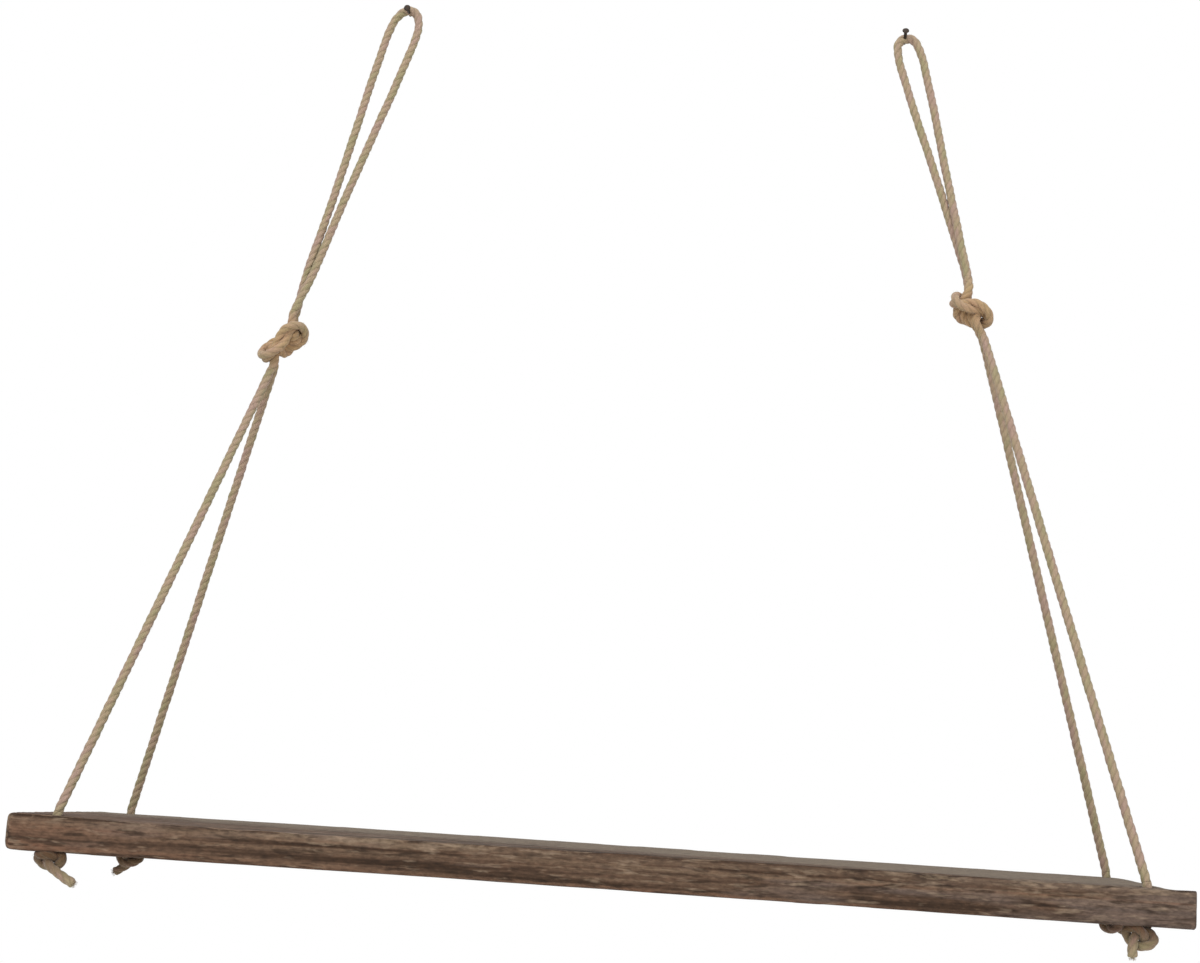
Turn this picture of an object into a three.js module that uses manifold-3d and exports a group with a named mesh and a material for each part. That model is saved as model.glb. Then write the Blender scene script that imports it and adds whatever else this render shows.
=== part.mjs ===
// A hanging rope shelf: one thick plank on two ropes, each looped over a wall nail.
// Millimetres. +X runs to the right along the plank, +Y goes into the wall and +Z is up.
// The origin is on the wall's face, midway between the two nails.
import * as THREE from 'three';
import { mergeVertices } from 'three/addons/utils/BufferGeometryUtils.js';
import Module from 'manifold-3d';

const wasm = await Module();
wasm.setup();

// Plank
const plankLength = 700;
const plankDepth = 165;
const plankThickness = 21;
const plankCornerRadius = 4;
const plankEdgeEase = 1.5;
const plankDrop = 564.5; // from midway between the nails' axes down to the plank's top face
const holeDiameter = 8.5;
const holeToEnd = 26;
const holeToFront = 11;
const holeToBack = 10;

// Wall nails
const nailSpacing = 350;
const nailRise = 3.65; // the left nail was driven in this much above the level, the right one below
const nailShankDiameter = 2.2;
const nailHeadDiameter = 4.7;
const nailHeadThickness = 1;
const nailHeadEdge = 0.5;
const nailHeadDome = 0.15;
const nailProud = 14;
const nailEmbedded = 26;
const nailPointLength = 4;

// Rope
const ropeDiameter = 5;
const ropeSeatFromWall = 4; // where the bight rests on the nail
const bightRadius = 7; // the stiff rope stands in a wide arch over the thin nail
const bightHalfAngle = THREE.MathUtils.degToRad(42);
const archAngles = [0, 0.04, 0.25, 0.5]; // onwards from the bight, in radians
const ropeAboveHole = 3; // the rope leaves the hole upright before its leg leans away
const legBendLength = 9;

// Clearances
const seatGap = 0.3; // between pieces that touch
const bendGap = 0.5; // where the rope bends at the nail as the shelf sways
const pivotGap = 0.8; // where the rope bends at the hole as the shelf sways

// Knots. A knot is tied loosely, of one or two strands that run round a ring and through it, and
// is then drawn tight.
const gatherRingRadius = 8.6;
const gatherWrapRadius = 6;
const gatherTail = 23; // from the knot's middle to where its two strands leave it
const gatherLegTail = 21;
const gatherDrawnShare = 0.16; // how much of its rope is pulled out of the knot
const stopperRingRadius = 5;
const stopperWrapRadius = 4;
const stopperDrawnShare = 0.3;
const windsPerTurnShare = 1.5;
const knotFirstDegrees = 75;
const knotLastDegrees = 645;
const knotDegreesPerPoint = 15;

// How a knot is drawn tight. The first four are shares of the rope's diameter.
const linkShare = 0.28; // one link of a strand
const pressedShare = 0.94; // how near the middles of two strands come
const apartShare = 1.5; // parts of a strand nearer to each other than this never press
const heldShare = 0.9; // how much of a strand's ends stays as it is
const stiffnessShare = 0.12;
const pushShare = 0.24;
const tightenRounds = 240;
const tightenedByShare = 0.7; // of the rounds, when all the rope has been pulled out
const passesPerRound = 4;

// Facets
const ropeSides = 8;
const bightSteps = 8;
const legStretches = 4;
const linksPerKnotStep = 2;
const knotStepsPerLength = 10;
const arcSegments = 8;
const nailSegments = 14;

// The two loops: distance below the nail, half the gap between the strands' middles, and how far
// the pair has turned from side by side towards one behind the other, in degrees.
const leftLoop = [
  [9.5, 8.1, 0], [21, 9, 0], [43, 8.4, 0], [65, 7.8, 0], [87, 6.7, 0], [108, 5.8, 0],
  [130, 4.8, 0], [152, 3.9, 6], [173, 3.0, 20], [195, 2.7, 41], [216, 2.65, 66], [232, 2.65, 86],
];
const rightLoop = [
  [9.5, 7.4, 0], [17, 8, 0], [32, 7.2, 0], [48, 6.5, 0], [64, 5.7, 0], [80, 4.8, 0],
  [96, 3.9, 0], [112, 3.1, 8], [130, 2.7, 30], [146, 2.65, 56], [160, 2.65, 76], [173, 2.65, 87],
];

// What each side has of its own: the knots are tied by hand and no two are alike.
const sides = [
  {
    name: 'left', sign: -1, loop: leftLoop,
    gatherShare: 0.4384, gatherLean: -32, gatherTurn: -90, gatherStretchShare: 1.2,
    stoppers: {
      front: { lean: 84, turn: 8, tail: [0.86, -0.12, -0.5], tailLength: 21 },
      back: { lean: 84, turn: 188, tail: [-0.85, -0.1, -0.5], tailLength: 14 },
    },
  },
  {
    name: 'right', sign: 1, loop: rightLoop,
    gatherShare: 0.3454, gatherLean: 32, gatherTurn: -40, gatherStretchShare: 1.1,
    stoppers: {
      front: { lean: 110, turn: 0, tail: [0.12, -0.1, -0.99], tailLength: 9 },
      back: { lean: 84, turn: 150, tail: [0.7, 0.05, -0.5], tailLength: 6 },
    },
  },
];

// Derived sizes
const ropeRadius = ropeDiameter / 2;
const nailRadius = nailShankDiameter / 2;
const bightRise = nailRadius + seatGap + ropeRadius;
const plankTop = -plankDrop;
const plankUnder = plankTop - plankThickness;
const plankMidY = -plankDepth / 2;
const holeX = plankLength / 2 - holeToEnd;
const holeFrontY = -plankDepth + holeToFront;
const holeBackY = -holeToBack;
const strandOffset = (ropeDiameter + seatGap) / 2;

// Materials
const wood = () => new THREE.MeshStandardMaterial({ color: 0x6b5a4c, roughness: 0.85, metalness: 0 });
const jute = () => new THREE.MeshStandardMaterial({ color: 0xa8916f, roughness: 0.95, metalness: 0 });
const steel = () => new THREE.MeshStandardMaterial({ color: 0x3a3632, roughness: 0.5, metalness: 0.9 });

const vec = (x, y, z) => new THREE.Vector3(x, y, z);
const along = (point, direction, distance) => point.clone().addScaledVector(direction, distance);

function toSolid(geometry) {
  const bare = geometry.clone();
  bare.deleteAttribute('normal');
  bare.deleteAttribute('uv');
  const merged = mergeVertices(bare);
  return new wasm.Manifold(new wasm.Mesh({
    numProp: 3,
    vertProperties: new Float32Array(merged.attributes.position.array),
    triVerts: new Uint32Array(merged.index.array),
  }));
}

function toGeometry(solid) {
  const mesh = solid.getMesh();
  const geometry = new THREE.BufferGeometry();
  geometry.setAttribute('position', new THREE.BufferAttribute(new Float32Array(mesh.vertProperties), 3));
  geometry.setIndex(new THREE.BufferAttribute(new Uint32Array(mesh.triVerts), 1));
  geometry.computeVertexNormals();
  return geometry;
}

// A rope's middle line. It is divided at its own points, so bends get more facets than straights.
class RopeCurve extends THREE.CatmullRomCurve3 {
  constructor(points) {
    super(points, false, 'centripetal');
  }

  getPointAt(share) {
    return this.getPoint(share);
  }

  getTangentAt(share) {
    return this.getTangent(share);
  }
}

// A length of a rope's middle line, with the frames of the whole line.
class RopeLength extends THREE.Curve {
  constructor(whole, frames, allSteps, first, last) {
    super();
    Object.assign(this, { whole, frames, allSteps, first, last });
  }

  getPoint(share) {
    return this.whole.getPoint((this.first + share * (this.last - this.first)) / this.allSteps);
  }

  getPointAt(share) {
    return this.getPoint(share);
  }

  computeFrenetFrames() {
    const cut = (list) => list.slice(this.first, this.last + 1);
    const { tangents, normals, binormals } = this.frames;
    return { tangents: cut(tangents), normals: cut(normals), binormals: cut(binormals) };
  }
}

// A round rope along a curve.
function ropeTube(curve, steps) {
  const section = new THREE.Shape().absarc(0, 0, ropeRadius, 0, 2 * Math.PI);
  return new THREE.ExtrudeGeometry(section, {
    steps, extrudePath: curve, bevelEnabled: false, curveSegments: ropeSides / 2,
  });
}

function freeTube(points) {
  return ropeTube(new RopeCurve(points), points.length - 1);
}

// A closed mesh without the small hollows that its pressed strands leave inside: of its skins, the
// one that reaches furthest.
function outerSkin(geometry) {
  const corners = geometry.index.array;
  const skinOf = Array.from({ length: geometry.attributes.position.count }, (unused, i) => i);
  const find = (i) => {
    while (skinOf[i] !== i) i = skinOf[i] = skinOf[skinOf[i]];
    return i;
  };
  for (let i = 0; i < corners.length; i += 3) {
    skinOf[find(corners[i + 1])] = find(corners[i]);
    skinOf[find(corners[i + 2])] = find(corners[i]);
  }
  const heights = geometry.attributes.position.array.filter((value, i) => i % 3 === 2);
  const outer = find(heights.indexOf(Math.max(...heights)));
  geometry.setIndex([...corners].filter((corner) => find(corner) === outer));
  const bare = geometry.toNonIndexed();
  bare.deleteAttribute('normal');
  const merged = mergeVertices(bare);
  merged.computeVertexNormals();
  return merged;
}

// A knot's strands cross and press on themselves, so each is made in short lengths that share their
// end faces, and all of them are joined into one solid.
function knotGeometry(strands) {
  const solids = [];
  for (const points of strands) {
    const curve = new RopeCurve(points);
    const steps = points.length - 1;
    const frames = curve.computeFrenetFrames(steps, false);
    for (let first = 0; first < steps; first += knotStepsPerLength) {
      const last = Math.min(first + knotStepsPerLength, steps);
      solids.push(toSolid(ropeTube(new RopeLength(curve, frames, steps, first, last), last - first)));
    }
  }
  return outerSkin(toGeometry(solids.reduce((whole, length) => whole.add(length))));
}

// Plank: eased edges all round and eased rims on the four rope holes.
function plankGeometry() {
  const x = plankLength / 2;
  const r = plankCornerRadius;
  const outline = new THREE.Shape();
  outline.moveTo(-x + r, -plankDepth);
  outline.lineTo(x - r, -plankDepth);
  outline.absarc(x - r, -plankDepth + r, r, -Math.PI / 2, 0);
  outline.lineTo(x, -r);
  outline.absarc(x - r, -r, r, 0, Math.PI / 2);
  outline.lineTo(-x + r, 0);
  outline.absarc(-x + r, -r, r, Math.PI / 2, Math.PI);
  outline.lineTo(-x, -plankDepth + r);
  outline.absarc(-x + r, -plankDepth + r, r, Math.PI, 1.5 * Math.PI);
  for (const holeAtX of [-holeX, holeX]) {
    for (const holeAtY of [holeFrontY, holeBackY]) {
      outline.holes.push(new THREE.Path().absarc(holeAtX, holeAtY, holeDiameter / 2, 0, 2 * Math.PI, true));
    }
  }
  const geometry = new THREE.ExtrudeGeometry(outline, {
    depth: plankThickness - 2 * plankEdgeEase, curveSegments: arcSegments,
    bevelThickness: plankEdgeEase, bevelSize: plankEdgeEase, bevelOffset: -plankEdgeEase, bevelSegments: 2,
  });
  return geometry.translate(0, 0, plankUnder + plankEdgeEase);
}

// Nail: pointed shank and a small domed head, turned about its own axis. Its length runs along -Y.
function nailGeometry() {
  const length = nailEmbedded + nailProud;
  const headRadius = nailHeadDiameter / 2;
  const profile = [
    new THREE.Vector2(0, 0),
    new THREE.Vector2(nailRadius, nailPointLength),
    new THREE.Vector2(nailRadius, length - nailHeadThickness),
    new THREE.Vector2(headRadius, length - nailHeadEdge),
    new THREE.Vector2(headRadius * Math.SQRT1_2, length - nailHeadDome),
    new THREE.Vector2(0, length),
  ];
  const geometry = new THREE.LatheGeometry(profile, nailSegments);
  return geometry.rotateX(Math.PI).translate(0, nailEmbedded, 0);
}

// The directions of one sling: down its line, across its loop, and out of its loop's plane.
function slingFrame(side) {
  const top = vec(side.sign * nailSpacing / 2, -ropeSeatFromWall, bightRise - side.sign * nailRise);
  const aim = vec(side.sign * holeX, plankMidY, plankTop); // the ropes pull through the plank's middle
  const span = aim.clone().sub(top);
  const down = span.clone().normalize();
  const across = vec(1, 0, 0).addScaledVector(down, -down.x).normalize();
  const outward = down.clone().cross(across).normalize();
  const knotDistance = span.length() * side.gatherShare;
  return { top, down, across, outward, knotDistance, knot: along(top, down, knotDistance) };
}

// A point of the arch in which the rope stands over the nail, by its angle from the top.
function archPoint(frame, angle) {
  const sideways = bightRadius * Math.sin(angle);
  const below = bightRadius * (1 - Math.cos(angle));
  return along(along(frame.top, frame.across, sideways), frame.down, below);
}

function bightPoints(frame) {
  const points = [];
  for (let i = 0; i <= bightSteps; i += 1) {
    points.push(archPoint(frame, bightHalfAngle * (2 * i / bightSteps - 1)));
  }
  return points;
}

// One strand of a loop, from the bight to the gather knot. The strand's way is +1 or -1.
function loopStrandPoints(side, frame, way) {
  const start = bightHalfAngle + bendGap / bightRadius;
  const points = archAngles.map((angle) => archPoint(frame, way * (start + angle)));
  const addPair = (distance, halfGap, turn) => points.push(
    frame.top.clone()
      .addScaledVector(frame.down, distance)
      .addScaledVector(frame.across, way * halfGap * Math.cos(turn))
      .addScaledVector(frame.outward, way * halfGap * Math.sin(turn)));
  for (const [distance, halfGap, turnDegrees] of side.loop) {
    addPair(distance, halfGap, THREE.MathUtils.degToRad(turnDegrees));
  }
  addPair(frame.knotDistance - gatherTail - seatGap, strandOffset, Math.PI / 2);
  return points;
}

// The body of an overhand knot: the strand goes twice round a ring while it winds three times
// through it, and the third outer lobe is left open, where the two ends leave. A strand of a pair
// lies beside this path, by the offset, on the ring's skin.
function overhandPoints(ring, wrap, stretchShare, offset = 0) {
  const path = (turn) => {
    const wind = turn * windsPerTurnShare;
    const out = ring + wrap * Math.cos(wind);
    return vec(out * Math.cos(turn), out * Math.sin(turn) * stretchShare, wrap * Math.sin(wind));
  };
  const points = [];
  for (let degrees = knotFirstDegrees; degrees <= knotLastDegrees; degrees += knotDegreesPerPoint) {
    const turn = THREE.MathUtils.degToRad(degrees);
    const wind = turn * windsPerTurnShare;
    const fromRing = vec(Math.cos(wind) * Math.cos(turn), Math.cos(wind) * Math.sin(turn), Math.sin(wind));
    const near = THREE.MathUtils.degToRad(1);
    const heading = path(turn + near).sub(path(turn - near));
    points.push(path(turn).addScaledVector(heading.cross(fromRing).normalize(), offset));
  }
  return points;
}

// The fourth difference along a strand: how far a point lies from where its neighbours' bends
// would even out.
function unevenness(strand, index) {
  const bend = (i) => (i <= 0 || i >= strand.length - 1
    ? vec(0, 0, 0)
    : strand[i - 1].clone().add(strand[i + 1]).addScaledVector(strand[i], -2));
  return bend(index - 1).add(bend(index + 1)).addScaledVector(bend(index), -2);
}

// Draws a knot tight. Its strands are chains of short links, held at both ends. Round by round the
// links shorten, bends even out a little, and where strands lie nearer than their thickness they
// push each other away. Under a ceiling they stay below it.
function drawTight(strands, drawnShare, ceiling = Infinity) {
  const nearest = pressedShare * ropeDiameter;
  const chains = strands.map((points) => {
    const curve = new THREE.CatmullRomCurve3(points, false, 'centripetal');
    curve.arcLengthDivisions = points.length * passesPerRound;
    const links = linksPerKnotStep * Math.round(curve.getLength() / (linksPerKnotStep * linkShare * ropeDiameter));
    return { points: curve.getSpacedPoints(links), linkLength: curve.getLength() / links };
  });
  const held = Math.round(heldShare / linkShare);
  const isHeld = (points, index) => index < held || index > points.length - 1 - held;
  const beads = chains.flatMap(({ points }, strand) => points.map((at, index) => ({
    at, strand, index, held: isHeld(points, index), push: vec(0, 0, 0), pushes: 0,
  })));
  const pairs = beads.flatMap((a, i) => beads.slice(i + 1).filter((b) => (
    a.strand !== b.strand || (b.index - a.index) * linkShare > apartShare)).map((b) => [a, b]));
  const loose = beads.filter((bead) => !bead.held);
  const between = vec(0, 0, 0);

  const pushApart = () => {
    for (const [a, b] of pairs) {
      const gap = a.at.distanceTo(b.at);
      if (gap < nearest) {
        between.subVectors(b.at, a.at).multiplyScalar(pushShare * (nearest - gap) / gap);
        a.push.sub(between);
        b.push.add(between);
        a.pushes += 1;
        b.pushes += 1;
      }
    }
    for (const bead of beads) {
      if (bead.pushes && !bead.held) bead.at.addScaledVector(bead.push, 1 / bead.pushes);
      if (!bead.held) bead.at.z = Math.min(bead.at.z, ceiling);
      bead.push.set(0, 0, 0);
      bead.pushes = 0;
    }
  };

  const shortenLinks = (drawn) => {
    for (const { points, linkLength } of chains) {
      for (const first of [0, 1]) {
        for (let i = first; i < points.length - 1; i += 2) {
          const length = points[i].distanceTo(points[i + 1]);
          between.subVectors(points[i + 1], points[i])
            .multiplyScalar((length - linkLength * (1 - drawn)) / (2 * length));
          if (!isHeld(points, i)) points[i].add(between);
          if (!isHeld(points, i + 1)) points[i + 1].sub(between);
        }
      }
    }
  };

  for (let round = 0; round < tightenRounds; round += 1) {
    const moves = loose.map((bead) => unevenness(chains[bead.strand].points, bead.index));
    loose.forEach((bead, i) => bead.at.addScaledVector(moves[i], -stiffnessShare));
    for (let pass = 0; pass < passesPerRound; pass += 1) {
      pushApart();
      shortenLinks(drawnShare * Math.min(1, round / (tightenedByShare * tightenRounds)));
    }
  }
  return chains.map(({ points }) => points.filter((point, i) => i % linksPerKnotStep === 0));
}

// Gather knot: the two strands of the loop tied together in one overhand knot, side by side.
function gatherStrandPoints(side, frame, way, leg) {
  const lean = THREE.MathUtils.degToRad(side.gatherLean);
  const turn = THREE.MathUtils.degToRad(side.gatherTurn);
  const up = frame.down.clone().negate();
  const sling = new THREE.Matrix4().makeBasis(frame.across, up, frame.outward).setPosition(frame.knot);
  const tied = overhandPoints(gatherRingRadius, gatherWrapRadius, side.gatherStretchShare, -way * strandOffset);
  const body = tied.map((point) => vec(point.x + gatherRingRadius / 2, point.y, -point.z)
    .applyAxisAngle(vec(0, 1, 0), turn).applyAxisAngle(vec(0, 0, 1), lean).applyMatrix4(sling));
  const topEnd = along(along(frame.knot, up, gatherTail), frame.outward, way * strandOffset);
  const straightEnd = (end, inward) => [0, 1, 2, 3].map((i) => along(end, inward, i * ropeRadius));
  return [
    ...straightEnd(topEnd, frame.down), ...body,
    ...straightEnd(leg.start, leg.direction.clone().negate()).reverse(),
  ];
}

// A leg's line: where it leaves the gather knot, the corner above its hole, and its direction.
function legLine(side, frame, way, holeY) {
  const start = along(along(frame.knot, frame.down, gatherLegTail), frame.outward, -way * strandOffset);
  const corner = vec(side.sign * holeX, holeY, plankTop + ropeAboveHole + pivotGap + legBendLength);
  return { start, corner, direction: corner.clone().sub(start).normalize() };
}

// A leg runs straight from the knot and bends upright just above its hole.
function legPoints(leg) {
  const first = along(leg.start, leg.direction, seatGap);
  const bendStart = along(leg.corner, leg.direction, -legBendLength);
  const end = along(leg.corner, vec(0, 0, -1), legBendLength);
  const straight = new THREE.LineCurve3(first, along(bendStart, leg.direction, -ropeRadius));
  const bend = new THREE.QuadraticBezierCurve3(bendStart, leg.corner, end);
  return [...straight.getPoints(legStretches), ...bend.getPoints(legStretches)];
}

// Stopper knot: the rope comes down through its hole, is tied in an overhand knot, drawn tight
// against the plank, and ends in a short cut tail.
function stopperPoints(side, stopper, holeY) {
  const basis = new THREE.Matrix4().makeRotationFromEuler(new THREE.Euler(
    0, THREE.MathUtils.degToRad(stopper.lean), THREE.MathUtils.degToRad(stopper.turn), 'ZYX'));
  const body = overhandPoints(stopperRingRadius, stopperWrapRadius, 1)
    .map((point) => vec(point.x, point.z, point.y).applyMatrix4(basis));
  const highest = Math.max(...body.map((p) => p.z)) + ropeRadius;
  const entry = body[0].clone();
  const shift = vec(side.sign * holeX - entry.x, holeY - entry.y, plankUnder - seatGap - highest);
  body.forEach((p) => p.add(shift));
  const under = vec(side.sign * holeX, holeY, plankUnder);
  const ceiling = plankUnder - seatGap - ropeRadius;
  const tailDirection = vec(...stopper.tail).normalize();
  const last = body[body.length - 1];
  const tight = drawTight([[
    along(under, vec(0, 0, 1), ropeDiameter), under, ...body,
    along(last, tailDirection, stopper.tailLength / 2), along(last, tailDirection, stopper.tailLength),
  ]], stopperDrawnShare, ceiling)[0];
  const besideHole = tight.filter((p) => Math.hypot(p.x - under.x, p.y - under.y) > ropeRadius);
  const lift = ceiling - Math.max(...besideHole.map((p) => p.z)); // the load pulls the knot up to the plank
  tight.forEach((p) => p.setZ(p.z + lift));
  const top = vec(side.sign * holeX, holeY, plankTop + ropeAboveHole);
  return [top, along(top, vec(0, 0, -1), ropeDiameter), ...tight];
}

const shelf = new THREE.Group();

function addPiece(name, geometry, material) {
  const mesh = new THREE.Mesh(geometry, material);
  mesh.name = name;
  shelf.add(mesh);
  return mesh;
}

addPiece('shelf_board', plankGeometry(), wood());

for (const side of sides) {
  const frame = slingFrame(side);
  const nail = addPiece(`${side.name}_nail`, nailGeometry(), steel());
  nail.position.set(side.sign * nailSpacing / 2, 0, -side.sign * nailRise);
  addPiece(`${side.name}_nail_bight`, freeTube(bightPoints(frame)), jute());

  // The strand that is in front above the gather knot comes out of it at the back.
  const strands = [
    { way: 1, strandName: 'right_strand', end: 'back', holeY: holeBackY },
    { way: -1, strandName: 'left_strand', end: 'front', holeY: holeFrontY },
  ];
  const knotStrands = [];
  for (const { way, strandName, end, holeY } of strands) {
    const leg = legLine(side, frame, way, holeY);
    const stopper = stopperPoints(side, side.stoppers[end], holeY);
    knotStrands.push(gatherStrandPoints(side, frame, way, leg));
    addPiece(`${side.name}_loop_${strandName}`, freeTube(loopStrandPoints(side, frame, way)), jute());
    addPiece(`${side.name}_${end}_leg`, freeTube(legPoints(leg)), jute());
    addPiece(`${side.name}_${end}_stopper_knot`, knotGeometry([stopper]), jute());
  }
  addPiece(`${side.name}_gather_knot`, knotGeometry(drawTight(knotStrands, gatherDrawnShare)), jute());
}

export default shelf;
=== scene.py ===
"""A weathered plank hung by two knotted jute ropes from two wall nails: its looks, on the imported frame."""
import logging
import math
from dataclasses import dataclass, field
from enum import Enum
from functools import reduce
from typing import Any, Iterable, Sequence

import bpy
import numpy as np
from mathutils import Matrix, Vector


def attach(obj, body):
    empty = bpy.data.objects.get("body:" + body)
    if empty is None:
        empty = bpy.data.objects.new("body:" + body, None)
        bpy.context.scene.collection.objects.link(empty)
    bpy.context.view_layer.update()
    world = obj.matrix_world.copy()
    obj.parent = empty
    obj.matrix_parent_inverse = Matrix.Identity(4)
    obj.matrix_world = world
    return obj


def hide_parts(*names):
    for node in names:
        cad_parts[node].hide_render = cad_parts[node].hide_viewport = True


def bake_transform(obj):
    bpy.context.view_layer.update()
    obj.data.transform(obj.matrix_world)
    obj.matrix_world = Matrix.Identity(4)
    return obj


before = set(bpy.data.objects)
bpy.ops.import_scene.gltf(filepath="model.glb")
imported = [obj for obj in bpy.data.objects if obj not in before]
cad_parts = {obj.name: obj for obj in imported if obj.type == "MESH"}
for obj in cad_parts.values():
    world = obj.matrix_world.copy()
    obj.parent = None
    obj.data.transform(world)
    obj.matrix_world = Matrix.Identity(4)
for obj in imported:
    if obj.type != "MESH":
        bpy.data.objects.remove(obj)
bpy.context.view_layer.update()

LOG = logging.getLogger("rope_shelf")
MM = 0.001
# How many strands the rope is laid from.
STRANDS = 3
# Lengths, and squared lengths, below these count as none.
NO_LENGTH = 1e-12
NO_TURN = 1e-18
# Nearly all values of a noise texture lie between these.
NOISE_RANGE = {"From Min": 0.3, "From Max": 0.7}
# A Mix node's two colours and its result go by number, because their names are used more than once.
COLOUR_A, COLOUR_B, MIXED = 6, 7, 2
# A wave texture turns by this many radians in each unit of length, times its scale.
WAVE_RADIANS = 20

Array = np.ndarray
Triple = tuple[float, float, float]


def linear(hex_colour: str) -> tuple[float, float, float, float]:
    """Turn an sRGB colour into linear light, by the standard's own curve.

    Args:
        hex_colour: six hex digits, with or without a leading hash.

    Returns:
        Red, green, blue and an alpha of 1, in linear light.
    """
    digits = hex_colour.lstrip("#")
    shares = [int(digits[i:i + 2], 16) / 255 for i in (0, 2, 4)]
    light = [c / 12.92 if c <= 0.04045 else ((c + 0.055) / 1.055) ** 2.4 for c in shares]
    return (*light, 1.0)


def feed(tree: bpy.types.NodeTree, node: bpy.types.Node, inputs: dict[str | int, Any]) -> None:
    """Give a node's inputs their values and links.

    Args:
        tree: the node's tree.
        node: the node.
        inputs: for each input, by name or number, a value or the socket that feeds it.
    """
    for key, value in inputs.items():
        if isinstance(value, bpy.types.NodeSocket):
            tree.links.new(value, node.inputs[key])
        else:
            node.inputs[key].default_value = value


def add(tree: bpy.types.NodeTree, kind: str, inputs: dict[str | int, Any] | None = None,
        stops: Sequence[tuple[float, Any]] = (), **settings: Any) -> bpy.types.Node:
    """Add a node with its settings, values and links.

    Args:
        tree: the material's or world's node tree.
        kind: the node's type name, without its common first word.
        inputs: for each input, by name or number, a value or the socket that feeds it.
        stops: for a colour ramp, each stop's place and colour.
        **settings: the node's own properties.

    Returns:
        The new node.
    """
    node = tree.nodes.new("ShaderNode" + kind)
    for name, value in settings.items():
        setattr(node, name, value)
    feed(tree, node, inputs or {})
    if stops:
        ramp = node.color_ramp.elements
        while len(ramp) < len(stops):
            ramp.new(0.5)
        for element, (place, colour) in zip(ramp, stops):
            element.position = place
            element.color = colour
    return node


def plain_material(name: str) -> tuple[bpy.types.Material, bpy.types.NodeTree, bpy.types.Node]:
    """Start a material.

    Args:
        name: the material's name.

    Returns:
        The material, its node tree, and the tree's own Principled shader.
    """
    made = bpy.data.materials.new(name)
    made.use_nodes = True
    return made, made.node_tree, made.node_tree.nodes["Principled BSDF"]


def put_in_scene(name: str, data: bpy.types.ID) -> bpy.types.Object:
    """Make an object of a mesh, a lamp or a camera, and put it in the scene.

    Args:
        name: the object's name.
        data: the mesh, lamp or camera.

    Returns:
        The object, at the origin.
    """
    made = bpy.data.objects.new(name, data)
    bpy.context.scene.collection.objects.link(made)
    return made


def turned(*turns: tuple[float, str]) -> Matrix:
    """Several turns as one, each by its degrees about its axis. The last of them is made first."""
    return reduce(Matrix.__matmul__, [Matrix.Rotation(math.radians(angle), 3, axis) for angle, axis in turns])


def unit(vectors: Array) -> Array:
    """Scale each vector in the last axis to length one."""
    return vectors / np.maximum(np.linalg.norm(vectors, axis=-1, keepdims=True), NO_LENGTH)


def travelled(points: Array) -> Array:
    """How far each point of a line lies from its start, along the line."""
    return np.concatenate([[0], np.cumsum(np.linalg.norm(np.diff(points, axis=0), axis=1))])


def together(*measures: Array) -> Array:
    """Put measures side by side in a new last axis, each spread out to the shape of all."""
    return np.stack(np.broadcast_arrays(*measures), -1)


def around(count: int) -> Array:
    """Angles set evenly round a circle."""
    return np.arange(count) * 2 * np.pi / count


def bell(distance: Array, width: float | Array) -> Array:
    """A bell curve: 1 at no distance, and 1/e where the distance is the width."""
    return np.exp(-(distance / width) ** 2)


def rising(values: Array, start: float, width: float) -> Array:
    """A straight rise from 0 at the start to 1 one width further on."""
    return np.clip((values - start) / width, 0, 1)


def waviness(where: Array, seed: int, waves: int = 9, shortest: float = 0.25) -> Array:
    """A smooth, seeded, uneven height field.

    It is a sum of sine waves that run in random directions. Their wavelengths lie between one unit
    and the shortest one, and a shorter wave is lower in proportion. The sum is divided by the root
    of the headroom times the sum of the squared heights.

    Args:
        where: points, already divided by the field's longest wavelength; the last axis is x, y, z.
        seed: which field it is.
        waves: how many waves are summed.
        shortest: the shortest wave's length, as a share of the longest one's.

    Returns:
        A height of about -1 to 1 for each point.
    """
    headroom = 1.5
    dice = np.random.default_rng(seed)
    directions = unit(dice.normal(size=(waves, where.shape[-1])))
    lengths = shortest ** (np.arange(waves) / max(waves - 1, 1))
    angles = 2 * np.pi * (where @ directions.T) / lengths + dice.uniform(0, 2 * np.pi, waves)
    return (np.sin(angles) * lengths).sum(-1) / np.sqrt((lengths ** 2).sum() * headroom)


@dataclass(frozen=True)
class Unevenness:
    """A height field for the plank: its longest wavelengths along and across the grain, and its waves."""

    along: float
    across: float
    seed: int
    waves: int = 9
    shortest: float = 0.25

    def at(self, points: Array) -> Array:
        """The field's height of about -1 to 1 at each point."""
        return waviness(points / [self.along, self.across, self.across], self.seed, self.waves, self.shortest)


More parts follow.
